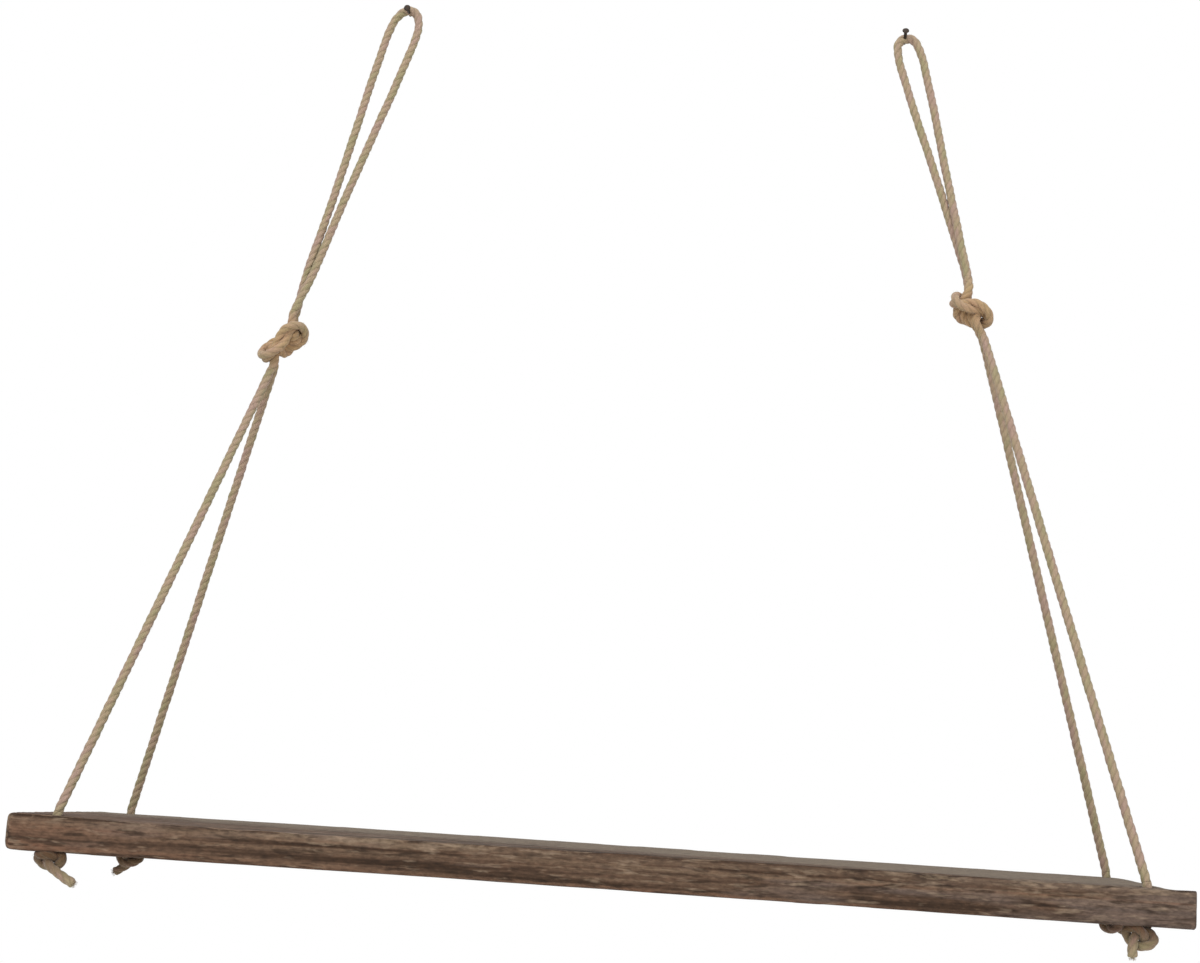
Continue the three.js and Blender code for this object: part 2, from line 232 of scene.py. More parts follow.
@dataclass
class Surface:
    """A mesh in the making: points in metres, faces, and values that ride on its points."""

    points: Array
    faces: list[Array]
    values: dict[str, Array] = field(default_factory=dict)

    def joined(self, other: "Surface") -> "Surface":
        """Put another surface beside this one, in the same mesh.

        Args:
            other: a surface with the same values on its points.

        Returns:
            Both as one surface.
        """
        shift = len(self.points)
        return Surface(
            np.concatenate([self.points, other.points]),
            self.faces + [f + shift for f in other.faces],
            {name: np.concatenate([v, other.values[name]]) for name, v in self.values.items()})

    def mesh(self, name: str) -> bpy.types.Object:
        """Make the Blender object of this surface.

        Args:
            name: the piece's name.

        Returns:
            The object, at the origin, with smooth faces.
        """
        data = bpy.data.meshes.new(name)
        corners = np.concatenate([f.ravel() for f in self.faces]).astype(np.int32)
        sizes = np.concatenate([np.full(len(f), f.shape[1]) for f in self.faces]).astype(np.int32)
        data.vertices.add(len(self.points))
        data.vertices.foreach_set("co", self.points.astype(np.float32).ravel())
        data.loops.add(len(corners))
        data.loops.foreach_set("vertex_index", corners)
        data.polygons.add(len(sizes))
        starts = np.concatenate([[0], np.cumsum(sizes)[:-1]]).astype(np.int32)
        data.polygons.foreach_set("loop_start", starts)
        data.polygons.foreach_set("loop_total", sizes)
        data.polygons.foreach_set("use_smooth", np.ones(len(sizes), bool))
        for key, value in self.values.items():
            kind = "FLOAT_VECTOR" if value.ndim == 2 else "FLOAT"
            layer = data.attributes.new(key, kind, "POINT")
            layer.data.foreach_set("vector" if value.ndim == 2 else "value",
                                   value.astype(np.float32).ravel())
        data.update(calc_edges=True)
        data.validate()
        return put_in_scene(name, data)


def quads(rows: int, columns: int) -> Array:
    """The faces between rings of points.

    Args:
        rows: how many rings.
        columns: how many points in a ring.

    Returns:
        Four point numbers for each face, turned so that faces point out of rings that run
        anticlockwise when seen from the last ring.
    """
    ring = np.arange(columns)
    row = np.arange(rows - 1)[:, None] * columns
    ahead = (ring + 1) % columns
    corners = [row + ring, row + ahead, row + columns + ahead, row + columns + ring]
    return np.stack(corners, -1).reshape(-1, 4)


def capped(rows: int, columns: int, clockwise: bool = False) -> list[Array]:
    """The faces of rings that end in two flat caps, each a fan from its ring's first point.

    Args:
        rows: how many rings.
        columns: how many points in a ring.
        clockwise: whether the rings run clockwise when seen from the last one.

    Returns:
        The side's faces and each cap's, all pointing outwards.
    """
    fan = np.arange(1, columns - 1)
    one, other = (fan, fan + 1) if clockwise else (fan + 1, fan)
    side = quads(rows, columns)
    return [side[:, ::-1] if clockwise else side, np.stack([0 * fan, one, other], -1),
            np.stack([0 * fan, other, one], -1) + (rows - 1) * columns]


def pointed(rows: int, columns: int) -> list[Array]:
    """The faces of rings that close to a point at each end.

    Args:
        rows: how many rings.
        columns: how many points in a ring.

    Returns:
        The side's faces and each end's. The two end points come after all the rings' own.
    """
    ring = np.arange(columns)
    ahead = (ring + 1) % columns
    first_end, last_ring = rows * columns, (rows - 1) * columns
    return [quads(rows, columns), np.stack([0 * ring + first_end, ahead, ring], -1),
            np.stack([0 * ring + first_end + 1, last_ring + ring, last_ring + ahead], -1)]


@dataclass(frozen=True)
class JuteRope:
    """Three-strand jute twine, laid and left raw.

    To the eye: dull and dry, khaki to tan with olive and rosy lengths, fine fibres along the rope,
    painted shade where its strands meet, and a pale fuzz round its outline. The knots that gather the
    legs are warmer, and the ones against the plank's underside are darkened by painted shade.
    """

    tan: str = "#9D8A71"
    khaki: str = "#928868"
    rosy: str = "#9E8577"
    hue_stops: Triple = (0.32, 0.50, 0.68)
    hue_shift: float = 0.07
    # Painted shade: the colour mixed into the grooves between the strands, and how much of it.
    groove_shade: str = "#6E5F4A"
    groove_shade_share: float = 0.4
    warm: str = "#AF8B64"
    warm_share: float = 0.75
    # Painted shade: the dark colour mixed into the rope under the plank, and how much of it.
    under_plank_shade: str = "#45270F"
    under_plank_shade_share: float = 0.9
    fibre_length: float = 9 * MM
    fibre_width: float = 0.45 * MM
    fibre_depth: float = 0.2 * MM
    fibre_relief: float = 0.6
    fibre_tone: tuple[float, float] = (0.82, 1.14)
    patch_length: float = 26 * MM
    patch_width: float = 5.5 * MM
    roughness: float = 0.92
    specular: float = 0.25
    sheen: float = 0.2
    sheen_roughness: float = 0.5

    def material(self) -> bpy.types.Material:
        """Make the rope's material from the values that ride on the rope's points.

        Returns:
            The material.
        """
        made, tree, shader = plain_material("raw_jute_three_strand")
        straight = add(tree, "Attribute", attribute_name="straight").outputs["Vector"]
        groove_shade_depth, strand, warmth_and_shade = (add(tree, "Attribute", attribute_name=name).outputs["Fac"]
                                 for name in ("groove_shade", "strand", "warmth_and_shade"))
        across, along = 1 / self.fibre_width, 1 / self.fibre_length
        drawn_out = add(tree, "Mapping", {"Vector": straight, "Scale": (across, across, along)}).outputs[0]
        fibres = add(tree, "TexNoise", {"Vector": drawn_out, "Scale": 1.0, "Detail": 3.0,
                                        "Roughness": 0.6}).outputs["Fac"]
        across, along = 1 / self.patch_width, 1 / self.patch_length
        wide = add(tree, "Mapping", {"Vector": straight, "Scale": (across, across, along)}).outputs[0]
        patches = add(tree, "TexNoise", {"Vector": wide, "Scale": 1.0, "Detail": 2.0}).outputs["Fac"]
        shift = add(tree, "MapRange", {"Value": strand, "From Max": STRANDS - 1.0,
                                       "To Min": -self.hue_shift, "To Max": self.hue_shift}).outputs[0]
        shifted = add(tree, "Math", {0: patches, 1: shift}, operation="ADD").outputs[0]
        hues = [linear(hue) for hue in (self.khaki, self.tan, self.rosy)]
        colour = add(tree, "ValToRGB", {"Fac": shifted}, stops=list(zip(self.hue_stops, hues))).outputs[0]
        # Warmer on the gather knot; painted shade on the rope under the plank.
        for tint, reach in ((self.warm, {"To Max": self.warm_share}),
                            (self.under_plank_shade, {"From Max": -1.0, "To Max": self.under_plank_shade_share})):
            share = add(tree, "MapRange", {"Value": warmth_and_shade, **reach}).outputs[0]
            colour = add(tree, "Mix", {"Factor": share, COLOUR_A: colour, COLOUR_B: linear(tint)},
                         data_type="RGBA").outputs[MIXED]
        darkest, palest = self.fibre_tone
        tone = add(tree, "MapRange", {"Value": fibres, **NOISE_RANGE,
                                      "To Min": darkest, "To Max": palest}).outputs[0]
        colour = add(tree, "Mix", {"Factor": 1.0, COLOUR_A: colour, COLOUR_B: tone},
                     data_type="RGBA", blend_type="MULTIPLY").outputs[MIXED]
        # Painted shade in the grooves between the strands, by their depth.
        share = add(tree, "Math", {0: groove_shade_depth, 1: self.groove_shade_share}, operation="MULTIPLY").outputs[0]
        colour = add(tree, "Mix", {"Factor": share, COLOUR_A: colour, COLOUR_B: linear(self.groove_shade)},
                     data_type="RGBA").outputs[MIXED]
        relief = add(tree, "Bump", {"Height": fibres, "Distance": self.fibre_depth,
                                    "Strength": self.fibre_relief}).outputs[0]
        feed(tree, shader, {"Base Color": colour, "Normal": relief, "Roughness": self.roughness,
                            "Specular IOR Level": self.specular, "Sheen Weight": self.sheen,
                            "Sheen Roughness": self.sheen_roughness})
        return made


@dataclass(frozen=True)
class Grain:
    """One layer of a plank's figure: noise drawn out along the plank.

    Its length and height are its grain's real size. The shift picks which part of the noise it is.
    """

    name: str
    length: float
    height: float
    shift: float
    detail: float
    bend: float


@dataclass(frozen=True)
class Tint:
    """A colour that shows where a layer of the figure passes a value.

    A value that rides on the plank's points, times its gain, is added to the layer first.
    """

    layer: str
    starts: float
    full: float
    most: float
    colour: str
    place: str = ""
    gain: float = 0.0


@dataclass(frozen=True)
class WeatheredPine:
    """An old rough-sawn pine plank, dried out and greyed by weather.

    To the eye: a dull mottled brown. Short pale streaks lie under the upper edge and short dark
    checks all over, with greyer and redder patches. The upper face is an even olive grey.
    """

    dark: str = "#36261A"
    brown: str = "#533F31"
    drab: str = "#685544"
    colour_stops: Triple = (0.39, 0.50, 0.61)
    latewood: str = "#3C2B1F"
    late_from: float = 0.6
    ring_spacing: float = 3.4 * MM
    ring_share: float = 0.22
    ring_bend: float = 2.5
    ring_bend_scale: float = 0.4
    pith: Triple = (0.0, 0.02, 0.66)
    pith_tilt: Triple = (0.0, 0.035, 0.05)
    grain_roughness: float = 0.55
    fibre_depth: float = 0.45 * MM
    fibre_relief: float = 0.5
    fibre_tone: tuple[float, float] = (0.68, 1.33)
    roughness: tuple[float, float] = (0.78, 0.95)
    specular: float = 0.25
    # Each layer's name, length, height, shift, detail and bend.
    grains: tuple[Grain, ...] = (
        Grain("figure", 320 * MM, 5.2 * MM, 11.7, 2.5, 0.3),
        Grain("patches", 110 * MM, 14 * MM, 5.3, 2.0, 0.3),
        Grain("streaks", 17 * MM, 2.8 * MM, 3.1, 2.5, 0.2),
        Grain("checks", 21 * MM, 3.0 * MM, 27.3, 2.5, 0.2),
        Grain("fibres", 4.5 * MM, 1.9 * MM, 19.9, 3.0, 0.2),
    )
    # Each tint's layer, where it starts and is full, its most, its colour, and its place and gain.
    tints: tuple[Tint, ...] = (
        Tint("patches", 0.53, 0.68, 0.48, "#6C5E56", "right", 0.11),
        Tint("figure", 0.60, 0.80, 0.50, "#613A28", "low", 0.13),
        Tint("figure", 0.60, 0.80, 0.50, "#684736", "left", 0.18),
        Tint("checks", 0.47, 0.34, 0.75, "#2A1D13"),
        Tint("streaks", 0.57, 0.73, 0.60, "#8C7966", "under_edge", 0.07),
        Tint("figure", 0.70, 1.10, 0.55, "#6B5A4A", "under_edge", 0.4),
        Tint("fibres", 0.70, 1.00, 0.55, "#7A6956", "worn", 0.35),
        Tint("fibres", 0.75, 1.25, 0.90, "#6E6254", "upward", 0.85),
    )

    def material(self) -> bpy.types.Material:
        """Make the plank's material. Grain runs along X, in real millimetres.

        The rings stand round a tilted pith under the plank, so that they are arcs on the ends and
        long lines on the faces.

        Returns:
            The material.
        """
        made, tree, shader = plain_material("weathered_rough_sawn_pine")
        place = add(tree, "TexCoord").outputs["Object"]
        layers = {}
        for grain in self.grains:
            drawn_out = add(tree, "Mapping", {
                "Vector": place, "Location": (grain.shift, grain.shift, grain.shift),
                "Scale": (1 / grain.length, 1 / grain.height, 1 / grain.height)}).outputs[0]
            layers[grain.name] = add(tree, "TexNoise", {
                "Vector": drawn_out, "Scale": 1.0, "Detail": grain.detail,
                "Roughness": self.grain_roughness, "Distortion": grain.bend}).outputs["Fac"]
        colours = [linear(colour) for colour in (self.dark, self.brown, self.drab)]
        colour = add(tree, "ValToRGB", {"Fac": layers["figure"]},
                     stops=list(zip(self.colour_stops, colours))).outputs[0]
        from_pith = add(tree, "Mapping", {"Vector": place, "Location": self.pith,
                                          "Rotation": self.pith_tilt}).outputs[0]
        rings = add(tree, "TexWave", {
            "Vector": from_pith, "Scale": 2 * math.pi / (WAVE_RADIANS * self.ring_spacing),
            "Distortion": self.ring_bend, "Detail": 2.0, "Detail Scale": self.ring_bend_scale},
            wave_type="RINGS", rings_direction="X", wave_profile="SAW").outputs["Fac"]
        late = add(tree, "MapRange", {"Value": rings, "From Min": self.late_from, "From Max": 1.0,
                                      "To Max": self.ring_share}).outputs[0]
        colour = add(tree, "Mix", {"Factor": late, COLOUR_A: colour, COLOUR_B: linear(self.latewood)},
                     data_type="RGBA").outputs[MIXED]
        for tint in self.tints:
            value = layers[tint.layer]
            if tint.place:
                there = add(tree, "Attribute", attribute_name=tint.place).outputs["Fac"]
                value = add(tree, "Math", {0: there, 1: tint.gain, 2: value},
                            operation="MULTIPLY_ADD").outputs[0]
            share = add(tree, "MapRange", {"Value": value, "From Min": tint.starts, "From Max": tint.full,
                                           "To Max": tint.most}).outputs[0]
            colour = add(tree, "Mix", {"Factor": share, COLOUR_A: colour, COLOUR_B: linear(tint.colour)},
                         data_type="RGBA").outputs[MIXED]
        darkest, palest = self.fibre_tone
        tone = add(tree, "MapRange", {"Value": layers["fibres"], **NOISE_RANGE,
                                      "To Min": darkest, "To Max": palest}).outputs[0]
        colour = add(tree, "Mix", {"Factor": 1.0, COLOUR_A: colour, COLOUR_B: tone},
                     data_type="RGBA", blend_type="MULTIPLY").outputs[MIXED]
        height = add(tree, "Math", {0: layers["fibres"], 1: layers["checks"]}, operation="ADD").outputs[0]
        relief = add(tree, "Bump", {"Height": height, "Distance": self.fibre_depth,
                                    "Strength": self.fibre_relief}).outputs[0]
        smoothest, roughest = self.roughness
        rough = add(tree, "MapRange", {"Value": layers["streaks"], "To Min": smoothest,
                                       "To Max": roughest}).outputs[0]
        feed(tree, shader, {"Base Color": colour, "Normal": relief, "Roughness": rough,
                            "Specular IOR Level": self.specular})
        return made


@dataclass(frozen=True)
class DarkNailSteel:
    """Wire-nail steel, blackened in the fire and lightly rusted.

    To the eye: nearly black, half dull, with a faint bluish shine and brown specks.
    """

    black: str = "#2E2823"
    rust: str = "#4A3321"
    rust_range: tuple[float, float] = (0.5, 0.7)
    speck: float = 0.8 * MM
    pitting: float = 0.1 * MM
    pitting_relief: float = 0.4
    roughness: tuple[float, float] = (0.4, 0.75)
    metallic: float = 0.6

    def material(self) -> bpy.types.Material:
        """Make the nails' material.

        Returns:
            The material.
        """
        made, tree, shader = plain_material("blackened_wire_nail_steel")
        place = add(tree, "TexCoord").outputs["Object"]
        specks = add(tree, "TexNoise", {"Vector": place, "Scale": 1 / self.speck,
                                        "Detail": 4.0}).outputs["Fac"]
        bare, rusty = self.rust_range
        share = add(tree, "MapRange", {"Value": specks, "From Min": bare, "From Max": rusty}).outputs[0]
        colour = add(tree, "Mix", {"Factor": share, COLOUR_A: linear(self.black),
                                   COLOUR_B: linear(self.rust)}, data_type="RGBA").outputs[MIXED]
        smoothest, roughest = self.roughness
        rough = add(tree, "MapRange", {"Value": specks, "To Min": smoothest, "To Max": roughest}).outputs[0]
        relief = add(tree, "Bump", {"Height": specks, "Distance": self.pitting,
                                    "Strength": self.pitting_relief}).outputs[0]
        feed(tree, shader, {"Base Color": colour, "Roughness": rough, "Normal": relief,
                            "Metallic": self.metallic})
        return made


@dataclass
class Line:
    """A rope's middle line, evenly divided: points, directions, and two upright directions."""

    points: Array
    arc: Array
    tangent: Array
    normal: Array
    binormal: Array

    @staticmethod
    def curve(knots: Array, steps: int = 24) -> Array:
        """Lay a smooth curve through points.

        Between two points it is a cubic, whose slope at each of them comes from its neighbours,
        weighted by the square root of their distances.

        Args:
            knots: the points that the curve runs through.
            steps: how many points are drawn between two of them.

        Returns:
            The finely drawn curve.
        """
        p = np.concatenate([[2 * knots[0] - knots[1]], knots, [2 * knots[-1] - knots[-2]]])
        gap = np.linalg.norm(np.diff(p, axis=0), axis=1)[:, None] ** 0.5
        p0, p1, p2, p3 = p[:-3], p[1:-2], p[2:-1], p[3:]
        d0, d1, d2 = gap[:-2], gap[1:-1], gap[2:]
        t1 = ((p1 - p0) / d0 - (p2 - p0) / (d0 + d1) + (p2 - p1) / d1) * d1
        t2 = ((p2 - p1) / d1 - (p3 - p1) / (d1 + d2) + (p3 - p2) / d2) * d1
        t = np.linspace(0, 1, steps, endpoint=False)[None, :, None]
        a, b, c, d = (v[:, None, :] for v in (p1, t1, 3 * (p2 - p1) - 2 * t1 - t2, 2 * (p1 - p2) + t1 + t2))
        return np.concatenate([(a + b * t + c * t ** 2 + d * t ** 3).reshape(-1, 3), knots[-1:]])

    @staticmethod
    def divided(fine: Array, parts: int) -> Array:
        """Divide a finely drawn curve into equal parts.

        Args:
            fine: points close together along the curve.
            parts: how many parts.

        Returns:
            The points between the parts, with both ends.
        """
        length = travelled(fine)
        even = np.linspace(0, length[-1], parts + 1)
        return np.stack([np.interp(even, length, fine[:, i]) for i in range(3)], -1)

    @staticmethod
    def through(knots: Array, step: float, smoothing: float) -> "Line":
        """Lay a line through points, divide it evenly, soften it and give it frames.

        Args:
            knots: the points, in metres.
            step: the distance between two points of the line.
            smoothing: the width of the bell-shaped average that softens it and ends at three widths.

        Returns:
            The line.
        """
        fine = Line.curve(knots)
        points = Line.divided(fine, int(round(travelled(fine)[-1] / step)))
        reach = int(3 * smoothing / step)
        weights = np.exp(-0.5 * (np.arange(-reach, reach + 1) * step / smoothing) ** 2)
        weights = weights / weights.sum()
        before = 2 * points[0] - points[reach:0:-1]
        after = 2 * points[-1] - points[-2:-reach - 2:-1]
        padded = np.concatenate([before, points, after])
        points = np.stack([np.convolve(padded[:, i], weights, "valid") for i in range(3)], -1)
        tangent = unit(np.gradient(points, axis=0))
        normal = Line.upright(points, tangent)
        return Line(points, travelled(points), tangent, normal, np.cross(tangent, normal))

    @staticmethod
    def upright(points: Array, tangent: Array) -> Array:
        """Frames that never spin: each normal is the one before it, reflected twice.

        Args:
            points: the line's points.
            tangent: its directions.

        Returns:
            One normal for each point.
        """
        first = np.cross(tangent[0], (0.0, 1.0, 0.0))
        normals = [first / np.linalg.norm(first)]
        for i in range(len(points) - 1):
            step = points[i + 1] - points[i]
            size = step @ step
            flipped = normals[-1] - 2 / size * (step @ normals[-1]) * step
            tipped = tangent[i] - 2 / size * (step @ tangent[i]) * step
            off = tangent[i + 1] - tipped
            fit = off @ off
            normals.append(flipped if fit < NO_TURN else flipped - 2 / fit * (off @ flipped) * off)
        return unit(np.array(normals))

    def part(self, first: int, last: int) -> "Line":
        """The stretch of the line from one of its points to another."""
        cut = slice(first, last + 1)
        return Line(*(v[cut] for v in (self.points, self.arc, self.tangent, self.normal, self.binormal)))

    def nearest(self, place: Array) -> int:
        """The number of the line's point that is nearest to a place."""
        return int(np.argmin(np.linalg.norm(self.points - place, axis=1)))

    def length(self) -> float:
        """How long the line is."""
        return float(self.arc[-1] - self.arc[0])


@dataclass(frozen=True)
class Tightening:
    """How a loosely tied knot is drawn tight. Lengths are shares of the rope's diameter.

    Each strand is a chain of short links, held at both ends. Round by round the links shorten,
    bends even out a little, and where strands lie nearer than their thickness they push each
    other away.
    """

    link: float = 0.28
    pressed: float = 0.94
    apart: float = 1.5
    held: int = 3
    stiffness: float = 0.12
    push: float = 0.24
    rounds: int = 240
    tightened_by: float = 0.7
    passes: int = 4
    curve_steps: int = 8

    def draw(self, strands: Sequence[Array], drawn: float, diameter: float,
             ceiling: float = math.inf) -> list[Array]:
        """Draw a knot tight.

        Bends even out by the fourth difference along a strand: a bead moves against the bend of its
        bends. Two beads nearer than the pressed distance part by push x the overlap, averaged over
        all that press on a bead. A link that is too long or too short moves both its ends by half
        of what it is off.

        Args:
            strands: the points of each loosely tied strand.
            drawn: the share of the rope that is pulled out of the knot.
            diameter: the rope's diameter.
            ceiling: a height that loose beads stay below.

        Returns:
            The points of each tightened strand, two links apart.
        """
        curves = [Line.curve(strand, self.curve_steps) for strand in strands]
        lengths = [travelled(curve)[-1] for curve in curves]
        parts = [2 * int(round(length / (2 * self.link * diameter))) for length in lengths]
        counts = np.array(parts) + 1
        beads = np.concatenate([Line.divided(curve, n) for curve, n in zip(curves, parts)])
        owner = np.repeat(np.arange(len(counts)), counts)
        index = np.concatenate([np.arange(n) for n in counts])
        last = counts[owner] - 1
        inside = ((index > 0) & (index < last))[:, None]
        loose = ((index >= self.held) & (index <= last - self.held))[:, None]
        one, other = np.triu_indices(len(beads), 1)
        pressing = (owner[one] != owner[other]) | ((index[other] - index[one]) * self.link > self.apart)
        one, other = one[pressing], other[pressing]
        links = np.flatnonzero(owner[1:] == owner[:-1])
        link_length = np.repeat(np.array(lengths) / parts, parts)
        for turn in range(self.rounds):
            pulled = 1 - drawn * min(1.0, turn / (self.tightened_by * self.rounds))
            bend = np.where(inside, np.roll(beads, 1, 0) + np.roll(beads, -1, 0) - 2 * beads, 0)
            uneven = np.roll(bend, 1, 0) + np.roll(bend, -1, 0) - 2 * bend
            beads = beads - self.stiffness * np.where(loose, uneven, 0)
            for _ in range(self.passes):
                between = beads[other] - beads[one]
                gap = np.linalg.norm(between, axis=1)
                hit = gap < self.pressed * diameter
                parted = between[hit] * (self.push * (self.pressed * diameter / gap[hit] - 1))[:, None]
                pushes = np.zeros_like(beads)
                np.add.at(pushes, one[hit], -parted)
                np.add.at(pushes, other[hit], parted)
                hits = np.bincount(np.concatenate([one[hit], other[hit]]), minlength=len(beads))
                beads = beads + np.where(loose, pushes / np.maximum(hits, 1)[:, None], 0)
                beads[:, 2] = np.where(loose[:, 0], np.minimum(beads[:, 2], ceiling), beads[:, 2])
                for parity in (0, 1):
                    chosen = index[links] % 2 == parity
                    near, far = links[chosen], links[chosen] + 1
                    between = beads[far] - beads[near]
                    length = np.linalg.norm(between, axis=1)
                    move = between * ((length - link_length[chosen] * pulled) / (2 * length))[:, None]
                    beads[near] += np.where(loose[near], move, 0)
                    beads[far] -= np.where(loose[far], move, 0)
        return [strand[::2] for strand in np.split(beads, np.cumsum(counts)[:-1])]


@dataclass
class RopeLay:
    """How the rope is laid: three soft strands twisted round each other.

    Its radius is uneven along each strand, by the same field some way on for the next strand.
    """

    diameter: float = 5 * MM
    lay_length: float = 17 * MM
    outer_radius: float = 2.85 * MM
    strand_radius: float = 2.1 * MM
    section_points: int = 48
    unevenness: float = 0.035
    uneven_length: float = 22 * MM
    strands_apart: float = 0.7
    uneven_seed: int = 5
    swelling: float = 0.2
    swelling_reach: float = 8 * MM
    end_opening: float = 0.1
    end_rounding: float = 0.3
    end_flatness: float = 0.05

    def surface(self, line: Line, open_start: bool, open_end: bool, pressed_at: Array) -> Surface:
        """The skin of a stretch of rope.

        Its section is the outline of three equal circles set evenly round the middle line. At an
        angle d from the nearest circle's middle, the outline is c cos d + sqrt(s^2 - c^2 sin^2 d)
        from the middle line, with s the circle's radius and c its distance. The section turns once
        in each lay length.

        Args:
            line: the stretch's middle line.
            open_start: whether more rope follows before the first ring; else the end is rounded.
            open_end: the same for the last ring.
            pressed_at: where the rope lies on its nail and is a little swollen.

        Returns:
            The skin, with the straightened place, strand number and groove depth on its points; the depth
            sets the painted shade in the grooves.
        """
        turn = around(self.section_points)
        third = 2 * np.pi / STRANDS
        strand = np.round(turn / third) % STRANDS
        off = (turn + third / 2) % third - third / 2
        centre = self.outer_radius - self.strand_radius
        outline = centre * np.cos(off) + np.sqrt(self.strand_radius ** 2 - (centre * np.sin(off)) ** 2)
        arc = line.arc[:, None]
        angle = turn[None, :] + 2 * np.pi * arc / self.lay_length
        uneven_at = together(arc / self.uneven_length, self.strands_apart * strand[None, :])
        radius = outline[None, :] * (1 + self.unevenness * waviness(uneven_at, self.uneven_seed))
        from_nail = np.linalg.norm(line.points - pressed_at, axis=1)
        radius = radius * (1 + self.swelling * bell(from_nail, self.swelling_reach))[:, None]
        radius = radius * self.rounding(line, open_start, open_end)[:, None]
        out = (np.cos(angle)[..., None] * line.normal[:, None]
               + np.sin(angle)[..., None] * line.binormal[:, None])
        points = line.points[:, None] + radius[..., None] * out
        straight = together(radius * np.cos(angle), radius * np.sin(angle), arc)
        # How deep in the groove between strands each point lies; its square sets the painted shade there.
        deep = (self.outer_radius - outline) / (self.outer_radius - outline.min())
        return Surface(points.reshape(-1, 3), capped(len(line.points), self.section_points), {
            "straight": straight.reshape(-1, 3),
            "strand": np.broadcast_to(strand, angle.shape).ravel(),
            "groove_shade": np.broadcast_to(deep ** 2, angle.shape).ravel()})

    def rounding(self, line: Line, open_start: bool, open_end: bool) -> Array:
        """How thick the rope is, as a share, near an end: a cut end opens a little and is rounded.

        At a distance q from a cut end the share is 1 + opening x exp(-q / d), with d the rope's
        diameter, and within rounding x d of it that falls along a quarter circle.

        Args:
            line: the rope's middle line.
            open_start: whether more rope follows before the first point.
            open_end: the same after the last point.

        Returns:
            A share for each point of the line.
        """
        share = np.ones(len(line.arc))
        for is_open, distance in ((open_start, line.arc - line.arc[0]), (open_end, line.arc[-1] - line.arc)):
            if not is_open:
                near = np.clip(1 - distance / (self.end_rounding * self.diameter), 0, 1)
                share = share * (1 + self.end_opening * np.exp(-distance / self.diameter))
                share = share * np.sqrt(np.maximum(1 - near ** 2, self.end_flatness))
        return share


